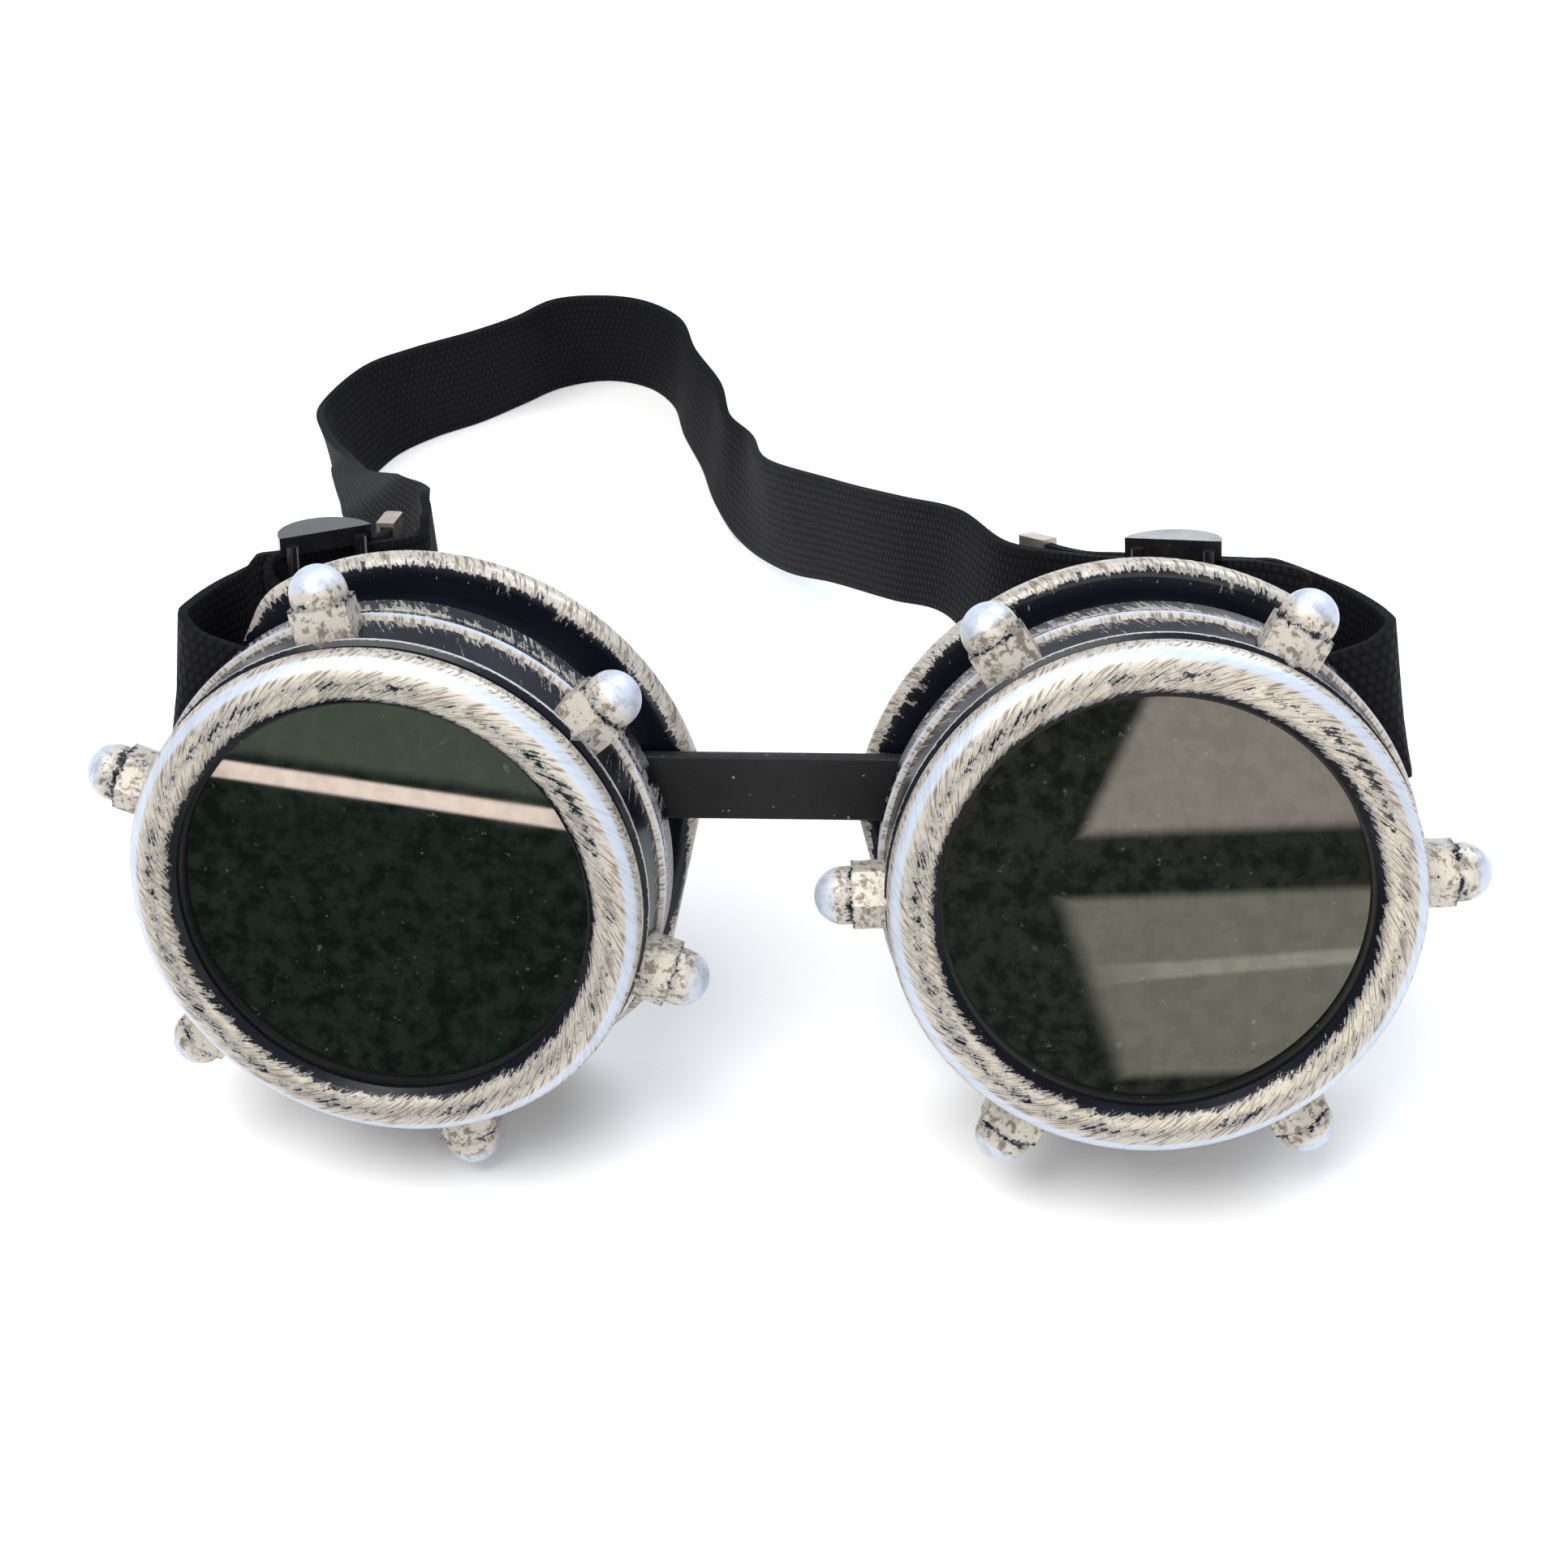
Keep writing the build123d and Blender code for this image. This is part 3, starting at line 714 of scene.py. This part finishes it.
def dry_brush_group():
    """Silver rubbed over black: cover says how much silver there is, from 0 to 1; near full cover it also
    paints a bluish-white highlight.
    """
    inputs = [
        ("Place", "NodeSocketVector", None), ("Strokes", "NodeSocketVector", None),
        ("Cover", "NodeSocketFloat", 0.5), ("Stroke mix", "NodeSocketFloat", 0.5),
    ]
    outputs = [
        ("Color", "NodeSocketColor"), ("Silver", "NodeSocketFloat"),
        ("Roughness", "NodeSocketFloat"), ("Height", "NodeSocketFloat"),
    ]
    group, given, out = new_group("Dry brushed silver", inputs, outputs)
    bench = Bench(group)
    place = given.outputs["Place"]
    hairs = bench.noise(given.outputs["Strokes"], 1.0, 5.0, 0.68, 0.2)
    grit = bench.noise(place, 1.05, 6.0, 0.74, 0.5)
    patches = bench.noise(place, 0.13, 3.0, 0.6, 0.4)
    fine = bench.noise(place, 4.5, 3.0, 0.6)
    blend = bench.add("ShaderNodeMix", data_type="FLOAT")
    bench.join(given.outputs["Stroke mix"], blend.inputs[0])
    bench.join(grit, blend.inputs[2])
    bench.join(hairs, blend.inputs[3])
    worn = bench.math("MULTIPLY_ADD", bench.math("SUBTRACT", blend.outputs[0], 0.5), 1.35, 0.5)
    worn = bench.math("ADD", worn, bench.math("MULTIPLY", bench.math("SUBTRACT", patches, 0.5), 0.40))
    worn = bench.math("ADD", worn, bench.math("MULTIPLY", bench.math("SUBTRACT", fine, 0.5), 0.16))
    edge = bench.math("SUBTRACT", 0.93, bench.math("MULTIPLY", given.outputs["Cover"], 0.86))
    lift = bench.math("SUBTRACT", worn, edge)
    silver = bench.spread(lift, -0.018, 0.018)
    thick = bench.spread(lift, 0.0, 0.16)
    # Cover from 0.8 to 0.97 fades in a painted highlight: bluish white and without brown strokes.
    painted_highlight = bench.spread(given.outputs["Cover"], 0.80, 0.97)
    bright = bench.mix(painted_highlight, CREAM, HIGHLIGHT_BLUE_WHITE)
    stroked = bench.math("SUBTRACT", 0.90, bench.math("MULTIPLY", painted_highlight, 0.75))
    brown = bench.math("MULTIPLY", bench.spread(hairs, 0.49, 0.59), stroked)
    bright = bench.mix(brown, bright, BROWN_STROKE)
    smear = bench.mix(thick, THIN_SMEAR, bright)
    colour = bench.mix(silver, BLACK_BASE, smear)
    bench.join(colour, out.inputs["Color"])
    bench.join(silver, out.inputs["Silver"])
    dull = bench.math("ADD", silver, bench.math("MULTIPLY", fine, 0.3))
    bench.join(bench.spread(dull, 0.0, 1.3, 0.24, 0.46), out.inputs["Roughness"])
    raised = bench.math("ADD", bench.math("MULTIPLY", silver, 0.6), bench.math("MULTIPLY", grit, 0.5))
    bench.join(raised, out.inputs["Height"])
    return group


dry_brush = dry_brush_group()
print("dry brush nodes", len(dry_brush.nodes))

# %% [markdown]
# ## Where the silver goes
#
# Silver covers each piece differently: thick on outer edges and domes, hardly any in the groove. The
# cover is drawn as a line of stops along the cup from back to front, or from the bore outwards. On the
# front of the rim, a ragged black crescent of painted shade is left inside the silver.

# %% Cover lines
def cover_line(bench, value, low, high, stops):
    """Silver cover as a line through (position, cover) stops."""
    ramp = bench.add("ShaderNodeValToRGB")
    stretch = bench.add("ShaderNodeMapRange")
    stretch.inputs["From Min"].default_value = low
    stretch.inputs["From Max"].default_value = high
    bench.join(value, stretch.inputs["Value"])
    bench.join(stretch.outputs["Result"], ramp.inputs["Fac"])
    line = ramp.color_ramp
    while len(line.elements) < len(stops):
        line.elements.new(0.5)
    for element, (position, cover) in zip(line.elements, stops):
        element.position = (position - low) / (high - low)
        element.color = (cover, cover, cover, 1)
    return ramp.outputs["Color"]


def rim_cover_and_shade(bench, cup, cover):
    """On the rim the silver starts some way out, with a ragged black crescent of painted shade inside it."""
    ragged = bench.math("MULTIPLY", bench.noise(cup.outputs["Place"], 0.9, 4.0), 1.6)
    reach = bench.math("ADD", cup.outputs["Reach"], ragged)
    outer = bench.spread(reach, 29.6, 30.2)
    # Inside that reach the silver is taken away: painted shade, a ragged black crescent on the rim's front.
    inside = bench.math("MULTIPLY", bench.math("SUBTRACT", 1.0, outer), 0.9)
    keep = bench.math("SUBTRACT", 1.0, inside, clamp=True)
    behind = bench.spread(cup.outputs["Ahead"], -19.0, -18.9)
    keep = bench.math("MAXIMUM", keep, behind)
    return bench.math("MULTIPLY", cover, keep)


print("cover steps:", cover_line.__name__, rim_cover_and_shade.__name__)

# %% Stops of the silver
# Cover stops from about 0.8 up also paint the bluish-white highlight: the ring's outer rounding, the
# collar's two ridges and the outer part of the nuts.
RING_STOPS = [
    (22.7, 0.22), (23.3, 0.50), (23.9, 0.66), (25.2, 0.53), (26.0, 0.66), (26.8, 0.95), (27.6, 0.95),
    (28.0, 0.60),
]
COLLAR_STOPS = [
    (-10.5, 0.60), (-9.8, 0.35), (-9.45, 0.97), (-8.9, 0.95), (-8.5, 0.46), (-6.6, 0.30),
    (-4.1, 0.24), (-3.6, 0.92), (-3.2, 0.92), (-2.9, 0.12), (-1.0, 0.10),
]
SHELL_STOPS = [
    (-23.2, 0.66), (-20.8, 0.74), (-19.6, 0.60), (-19.2, 0.06), (-16.0, 0.00), (-14.5, 0.08),
    (-14.1, 0.66), (-13.4, 0.34), (-12.0, 0.44), (-11.0, 0.60), (-10.6, 0.4),
]
NUT_STOPS = [
    (26.9, 0.50), (28.6, 0.66), (31.0, 0.80), (31.7, 0.46), (32.6, 0.66), (33.6, 0.90), (35.6, 0.97),
]

print("stops:", [len(line) for line in (RING_STOPS, COLLAR_STOPS, SHELL_STOPS, NUT_STOPS)])

# %% Silver paint on every metal piece
def silver_material(side, name, stops, along, low, high, hair_ways, stroke_mix, extra=None):
    """Hair ways: how fine across and along a hair, its slant with ahead and its lean with reach."""
    material, bench, shader = fresh_material(side + " " + name)
    cup = use_group(bench, measure[side])
    cover = cover_line(bench, cup.outputs[along], low, high, stops)
    if extra is not None:
        cover = extra(bench, cup, cover)
    across, lengthwise, slant, lean = hair_ways
    slanted = bench.math("MULTIPLY", cup.outputs["Ahead"], slant)
    slanted = bench.math("ADD", cup.outputs["Round"], slanted)
    slanted = bench.math("ADD", slanted, bench.math("MULTIPLY", cup.outputs["Reach"], lean))
    strokes = bench.vector(
        bench.math("MULTIPLY", slanted, across),
        bench.math("MULTIPLY", cup.outputs["Ahead"], lengthwise),
        bench.math("MULTIPLY", cup.outputs["Reach"], lengthwise),
    )
    paint = use_group(bench, dry_brush)
    bench.join(cup.outputs["Place"], paint.inputs["Place"])
    bench.join(strokes, paint.inputs["Strokes"])
    bench.join(cover, paint.inputs["Cover"])
    paint.inputs["Stroke mix"].default_value = stroke_mix
    bench.join(paint.outputs["Color"], shader.inputs["Base Color"])
    bench.join(paint.outputs["Roughness"], shader.inputs["Roughness"])
    bench.join(bench.math("MULTIPLY", paint.outputs["Silver"], 0.35), shader.inputs["Metallic"])
    shader.inputs["Specular IOR Level"].default_value = 0.22
    shader.inputs["Coat Weight"].default_value = 0.10
    shader.inputs["Coat Roughness"].default_value = 0.16
    bench.join(bench.bump(paint.outputs["Height"], 0.35, 0.00012), shader.inputs["Normal"])
    return material


nodes = frame["nodes"]
for side in SIDES:
    ring = silver_material(
        side, "front ring paint", RING_STOPS, "Reach", 22.0, 29.0, (1.9, 0.5, 0.0, 1.9), 0.62
    )
    collar = silver_material(
        side, "collar paint", COLLAR_STOPS, "Ahead", -11.0, 0.0, (2.6, 0.42, 0.55, 0.0), 0.85
    )
    shell = silver_material(
        side, "shell paint", SHELL_STOPS, "Ahead", -27.0, -5.0, (2.4, 0.40, 0.45, 0.0), 0.7, rim_cover_and_shade
    )
    nuts = silver_material(
        side, "cap nut paint", NUT_STOPS, "Reach", 26.0, 36.0, (0.9, 0.9, 0.3, 0.0), 0.35
    )
    give(nodes[side + "_front_ring"], ring)
    give(nodes[side + "_knob_collar"], collar)
    give(nodes[side + "_cup_shell"], shell)
    give(nodes[side + "_cap_nuts"], nuts)
print("silver paints:", len([m for m in bpy.data.materials if "paint" in m.name]))

# %% [markdown]
# ## Glass
#
# The dark welding glass is almost black and mirrors like polished stone, with a little dust on it. The
# clear cover glass behind it lets light through. Both could be one flat glass, but the faint haze and
# dust make them read as real plates.

# %% Dark and clear glass
def dark_glass():
    material, bench, shader = fresh_material("dark welding glass")
    where = bench.add("ShaderNodeTexCoord").outputs["Object"]
    dust = bench.spread(bench.noise(where, 900.0, 3.0, 0.6), 0.66, 0.74)
    haze = bench.noise(where, 60.0, 3.0, 0.6)
    bench.join(bench.mix(dust, (0.002, 0.004, 0.003), (0.05, 0.05, 0.05)), shader.inputs["Base Color"])
    bench.join(bench.spread(haze, 0.3, 0.8, 0.015, 0.05), shader.inputs["Roughness"])
    shader.inputs["IOR"].default_value = 1.75
    return material


def clear_glass():
    material, bench, shader = fresh_material("clear cover glass")
    where = bench.add("ShaderNodeTexCoord").outputs["Object"]
    haze = bench.noise(where, 80.0, 3.0, 0.6)
    bench.join(bench.mix(haze, (0.55, 0.62, 0.60), (0.68, 0.74, 0.72)), shader.inputs["Base Color"])
    bench.join(bench.spread(haze, 0.3, 0.8, 0.02, 0.07), shader.inputs["Roughness"])
    shader.inputs["IOR"].default_value = 1.5
    shader.inputs["Transmission Weight"].default_value = 0.85
    return material


glass_dark, glass_clear = dark_glass(), clear_glass()
print("glass:", glass_dark.name, glass_clear.name)

# %% [markdown]
# ## Rubber and foam
#
# The bridge strip and the gaskets are matt black rubber with a fine grain and a few pale specks. The
# pads are foam, whose skin shows closed cells. Noise gives the grain and a cell pattern gives the foam.

# %% Rubber and foam
def matt_rubber(name, base, scuff, grain):
    material, bench, shader = fresh_material(name)
    where = bench.add("ShaderNodeTexCoord").outputs["Object"]
    fine = bench.noise(where, grain, 5.0, 0.65)
    broad = bench.noise(where, grain * 0.08, 4.0, 0.6)
    specks = bench.spread(bench.noise(where, grain * 1.6, 1.0, 0.4), 0.75, 0.80)
    colour = bench.mix(bench.spread(broad, 0.35, 0.7), base, scuff)
    colour = bench.mix(specks, colour, (0.20, 0.20, 0.20))
    bench.join(colour, shader.inputs["Base Color"])
    bench.join(bench.spread(fine, 0.2, 0.8, 0.48, 0.66), shader.inputs["Roughness"])
    bench.join(bench.bump(fine, 0.3, 0.00008), shader.inputs["Normal"])
    shader.inputs["Specular IOR Level"].default_value = 0.25
    return material


def foam_skin():
    material, bench, shader = fresh_material("foam pad skin")
    where = bench.add("ShaderNodeTexCoord").outputs["Object"]
    cells = bench.add("ShaderNodeTexVoronoi")
    cells.inputs["Scale"].default_value = 2600.0
    bench.join(where, cells.inputs["Vector"])
    broad = bench.noise(where, 150.0, 4.0, 0.6)
    bench.join(bench.mix(broad, (0.008, 0.008, 0.009), (0.022, 0.022, 0.024)), shader.inputs["Base Color"])
    bench.join(bench.spread(broad, 0.2, 0.8, 0.6, 0.85), shader.inputs["Roughness"])
    bench.join(bench.bump(cells.outputs["Distance"], 0.5, 0.0002), shader.inputs["Normal"])
    return material


gasket_rubber = matt_rubber("gasket rubber", (0.006, 0.006, 0.007), (0.015, 0.015, 0.016), 900.0)
bridge_rubber = matt_rubber("matt bridge rubber", (0.003, 0.003, 0.004), (0.007, 0.007, 0.008), 800.0)
print("rubbers:", gasket_rubber.name, bridge_rubber.name)

# %% [markdown]
# ## Elastic webbing
#
# The headband is a ribbed weave: rows along its length, each made of short raised picks, shifted a
# little from row to row. The weave is worked out in millimetres from the strip's own map, so it keeps
# its scale and follows every bend.

# %% The elastic weave
RIB = 1.15
PICK = 0.84
PICK_SHIFT = 0.42


def weave_group():
    """Rib height, and a painted shade that is dark between the picks and light on them, from the strip's own
    map, scaled to millimetres.
    """
    outputs = [("Height", "NodeSocketFloat"), ("Painted shade", "NodeSocketFloat")]
    group, given, out = new_group("Elastic weave", [("Map", "NodeSocketVector", None)], outputs)
    bench = Bench(group)
    parts = bench.add("ShaderNodeSeparateXYZ")
    bench.join(given.outputs["Map"], parts.inputs[0])
    along = bench.math("MULTIPLY", parts.outputs[0], band_length)
    across = bench.math("MULTIPLY", parts.outputs[1], BAND_WIDTH)
    rib = bench.math("ABSOLUTE", bench.math("SINE", bench.math("MULTIPLY", across, math.pi / RIB)))
    row = bench.math("FLOOR", bench.math("DIVIDE", across, RIB))
    shifted = bench.math("ADD", along, bench.math("MULTIPLY", row, PICK_SHIFT))
    pick = bench.math("ABSOLUTE", bench.math("SINE", bench.math("MULTIPLY", shifted, math.pi / PICK)))
    both = bench.math("MULTIPLY", bench.math("POWER", rib, 0.6), bench.math("POWER", pick, 0.7))
    fuzz = bench.noise(bench.vector(along, across, 0.0), 3.0, 4.0, 0.7)
    bench.join(bench.math("ADD", both, bench.math("MULTIPLY", fuzz, 0.25)), out.inputs["Height"])
    worn = bench.spread(fuzz, 0.3, 0.8, 0.5, 1.0)
    bench.join(bench.math("MULTIPLY", both, worn), out.inputs["Painted shade"])
    return group


def webbing():
    material, bench, shader = fresh_material("black elastic webbing")
    weave = use_group(bench, weave_group())
    mapped = bench.add("ShaderNodeUVMap")
    mapped.uv_map = "UVMap"
    bench.join(mapped.outputs[0], weave.inputs["Map"])
    # The webbing's colour is painted shade: darkest between the picks, lightest on their tops.
    colour = bench.mix(weave.outputs["Painted shade"], (0.0012, 0.0012, 0.0018), (0.007, 0.0075, 0.011))
    bench.join(colour, shader.inputs["Base Color"])
    bench.join(bench.spread(weave.outputs["Painted shade"], 0.0, 1.0, 0.85, 0.62), shader.inputs["Roughness"])
    shader.inputs["Sheen Weight"].default_value = 0.01
    shader.inputs["Specular IOR Level"].default_value = 0.12
    bench.join(bench.bump(weave.outputs["Height"], 0.55, 0.00022), shader.inputs["Normal"])
    return material


elastic = webbing()
print("webbing:", elastic.name)

# %% [markdown]
# ## Slider plastic and metal clips
#
# The sliders are glossy moulded plastic with a faint ripple and rubbed spots. The clips on the tails are
# dull plated metal, a little tarnished.

# %% Plastic and clips
def slider_plastic():
    material, bench, shader = fresh_material("moulded black plastic")
    where = bench.add("ShaderNodeTexCoord").outputs["Object"]
    mould = bench.noise(where, 420.0, 4.0, 0.6)
    wear = bench.spread(bench.noise(where, 1500.0, 3.0, 0.7), 0.62, 0.75)
    bench.join(bench.mix(wear, (0.006, 0.006, 0.008), (0.03, 0.03, 0.034)), shader.inputs["Base Color"])
    bench.join(bench.spread(mould, 0.25, 0.8, 0.16, 0.34), shader.inputs["Roughness"])
    bench.join(bench.bump(mould, 0.15, 0.0001), shader.inputs["Normal"])
    shader.inputs["Coat Weight"].default_value = 0.4
    shader.inputs["Coat Roughness"].default_value = 0.12
    return material


def clip_metal():
    material, bench, shader = fresh_material("dull plated clip")
    where = bench.add("ShaderNodeTexCoord").outputs["Object"]
    grain = bench.noise(where, 700.0, 5.0, 0.7)
    tarnish = bench.spread(bench.noise(where, 210.0, 4.0, 0.6), 0.40, 0.66)
    bench.join(bench.mix(tarnish, (0.46, 0.41, 0.34), (0.62, 0.60, 0.56)), shader.inputs["Base Color"])
    bench.join(bench.spread(grain, 0.2, 0.8, 0.28, 0.50), shader.inputs["Roughness"])
    bench.join(bench.bump(grain, 0.3, 0.00006), shader.inputs["Normal"])
    shader.inputs["Metallic"].default_value = 0.85
    return material


plastic, clip = slider_plastic(), clip_metal()
print("hard trims:", plastic.name, clip.name)

# %% Give every piece its finish
for side in SIDES:
    give(nodes[side + "_dark_lens"], glass_dark)
    give(nodes[side + "_clear_lens"], glass_clear)
    give(nodes[side + "_lens_gasket"], gasket_rubber)
    give(nodes[side + "_strap_slider"], plastic)
    give(nodes[side + "_strap_crimp"], clip)
    give(pads[side], foam_skin())
give(headband, elastic)
give(bridge, bridge_rubber)
print("materials", len(bpy.data.materials))

# %% [markdown]
# ## Table and camera
#
# The goggles lie on a plain pale table, seen from above and in front. The camera is a little rolled, as
# a hand-held one is.

# %% Table
def stage_floor():
    nothing_selected()
    bpy.ops.mesh.primitive_plane_add(size=6.0, location=(0, 0, 0))
    floor = new_piece("pale_table")
    material, _, shader = fresh_material("pale table")
    shader.inputs["Base Color"].default_value = (0.93, 0.93, 0.93, 1)
    shader.inputs["Roughness"].default_value = 0.9
    shader.inputs["Specular IOR Level"].default_value = 0.0
    give(floor, material)
    return floor


floor = stage_floor()
print("table:", floor.name)

# %% Camera
VIEW_AROUND, VIEW_DOWN, VIEW_ROLL = 6.92, 42.04, 4.07
VIEW_FROM = Vector((27.889, -280.776, 245.52))
VIEW_LENS = 65.2


def view_camera():
    az, el, roll = math.radians(VIEW_AROUND), math.radians(VIEW_DOWN), math.radians(VIEW_ROLL)
    ahead = Vector((-math.sin(az) * math.cos(el), math.cos(az) * math.cos(el), -math.sin(el)))
    level = Vector((math.cos(az), math.sin(az), 0))
    down = ahead.cross(level)
    right = level * math.cos(roll) + down * math.sin(roll)
    below = level * -math.sin(roll) + down * math.cos(roll)
    data = bpy.data.cameras.new("view")
    data.lens = VIEW_LENS
    data.sensor_width = 36
    data.clip_start = 0.01
    camera = bpy.data.objects.new("view", data)
    bpy.context.scene.collection.objects.link(camera)
    turn = Matrix((right, -below, -ahead)).transposed().to_4x4()
    camera.matrix_world = Matrix.Translation(VIEW_FROM * MM) @ turn
    bpy.context.scene.camera = camera
    return camera


camera = view_camera()
print("camera at", camera.matrix_world.translation)

# %% [markdown]
# ## Something for the glass to mirror
#
# Dark glass shows almost only what it mirrors, and in an empty room that is a blank. Real surroundings
# aren't modelled. Soft-edged glowing cards stand in front of the lenses instead, seen by the shine
# alone. Each card's corners are given as the lens points where they should show, and are sent along the
# mirrored sight to the card's distance.

# %% A glowing card
MOTTLE = 420.0


def shine_card(name, corners, colour, strength, soft, uneven):
    """A soft-edged, more or less mottled card that only mirror-like reflection can see."""
    nothing_selected()
    bpy.ops.mesh.primitive_plane_add(size=1)
    card = new_piece(name)
    for vertex, n in zip(card.data.vertices, (0, 1, 3, 2)):
        vertex.co = corners[n]
    material = bpy.data.materials.new(name)
    material.use_nodes = True
    bench = Bench(material.node_tree)
    glow = bench.add("ShaderNodeEmission")
    mottle = bench.noise(bench.add("ShaderNodeTexCoord").outputs["Object"], MOTTLE, 4.0, 0.7)
    shaded = tuple((1 - uneven) * part for part in colour)
    lit = tuple((1 + uneven) * part for part in colour)
    bench.join(bench.mix(bench.spread(mottle, 0.36, 0.64), shaded, lit), glow.inputs["Color"])
    glow.inputs["Strength"].default_value = strength
    mapped = bench.add("ShaderNodeUVMap")
    mapped.uv_map = card.data.uv_layers[0].name
    parts = bench.add("ShaderNodeSeparateXYZ")
    bench.join(mapped.outputs[0], parts.inputs[0])
    near = [bench.math("MINIMUM", part, bench.math("SUBTRACT", 1.0, part)) for part in parts.outputs[:2]]
    clear = bench.add("ShaderNodeBsdfTransparent")
    fade = bench.add("ShaderNodeMixShader")
    bench.join(bench.spread(bench.math("MINIMUM", near[0], near[1]), 0.0, soft), fade.inputs[0])
    bench.join(clear.outputs[0], fade.inputs[1])
    bench.join(glow.outputs[0], fade.inputs[2])
    bench.join(fade.outputs[0], material.node_tree.nodes["Material Output"].inputs["Surface"])
    give(card, material)
    card.visible_camera = False
    card.visible_diffuse = False
    card.visible_shadow = False
    card.visible_transmission = False
    return card


print("mottle scale", MOTTLE)

# %% Cards placed by what the lenses show
LENS_FACE = -1.2


def mirrored(side, out, up, far):
    """Where the camera's sight of a lens point lands after the glass mirrors it."""
    spot = at_cup(side, out, up, LENS_FACE) * MM
    sight = (spot - camera.matrix_world.translation).normalized()
    normal = way_at_cup(side, 0, 0, 1)
    bounce = sight - normal * 2 * sight.dot(normal)
    return spot + bounce * far


def lens_card(side, name, corners, far, colour, strength, soft=0.07, uneven=0.08):
    """A card given by the lens points, out and up, where its corners should show."""
    places = [mirrored(side, out, up, far) for out, up in corners]
    return shine_card(name, places, colour, strength, soft, uneven)


FAR = 0.040
lens_card(
    "left", "left dark card",
    [(-30, -34), (34, -34), (34, 34), (-30, 34)],
    FAR, (0.10, 0.125, 0.105), 1.0, 0.01, 0.7,
)
lens_card(
    "left", "left pale bar",
    [(24, 12.9), (-26, 8.1), (-26, 10.7), (24, 15.4)],
    FAR - 0.002, (1.0, 0.83, 0.71), 10.0, 0.2,
)
lens_card(
    "left", "left green card",
    [(24, 15.6), (-26, 10.9), (-26, 34), (24, 34)],
    FAR - 0.001, (0.23, 0.28, 0.22), 3.0,
)
lens_card(
    "right", "right dark card",
    [(-34, -34), (34, -34), (34, 34), (-34, 34)],
    FAR, (0.19, 0.18, 0.15), 1.0, 0.01, 0.6,
)
lens_card(
    "right", "right brown card",
    [(-9, 6.6), (34, 6.6), (34, 32), (3, 32)],
    FAR - 0.001, (0.52, 0.46, 0.40), 5.4,
)
lens_card(
    "right", "right grey card",
    [(-5, -20.5), (34, -20.5), (34, 1.2), (-11.5, 1.2)],
    FAR - 0.001, (0.42, 0.41, 0.33), 4.4,
)
lens_card(
    "right", "right light bar",
    [(-8.5, -9.5), (34, -7.4), (34, -5.2), (-8.5, -7.0)],
    FAR - 0.002, (0.62, 0.59, 0.48), 5.4, 0.3,
)

cards = [thing.name for thing in bpy.data.objects if thing.name.endswith(("card", "bar"))]
print("cards:", cards)

# %% [markdown]
# ## Light
#
# A big soft light overhead, a cooler one from the back that adds to the painted bluish-white highlight
# on the outer edges, and a weak warm one in front, in a pale room.

# %% Lights
def soft_light(name, place, size, power, colour, aim=(0, 0, 0.03)):
    data = bpy.data.lights.new(name, "AREA")
    data.shape = "DISK"
    data.size = size
    data.energy = power
    data.color = colour
    light = bpy.data.objects.new(name, data)
    bpy.context.scene.collection.objects.link(light)
    light.location = place
    light.rotation_euler = (Vector(aim) - Vector(place)).to_track_quat("-Z", "Y").to_euler()
    return light


soft_light("overhead", (-0.25, -0.25, 0.9), 0.8, 9.0, (1.0, 0.99, 0.97))
soft_light("cool back", (0.35, 0.55, 0.75), 0.6, 6.0, (0.80, 0.89, 1.0))
soft_light("front fill", (0.3, -0.9, 0.5), 0.7, 3.0, (1.0, 0.97, 0.93))

print("lights:", len(bpy.data.lights))

# %% Pale room
world = bpy.data.worlds.new("pale room")
bpy.context.scene.world = world
world.use_nodes = True
backdrop = world.node_tree.nodes["Background"]
backdrop.inputs["Color"].default_value = (0.93, 0.95, 1.0, 1)
backdrop.inputs["Strength"].default_value = 0.62
bpy.context.scene.view_settings.view_transform = "Standard"

print("room:", world.name)
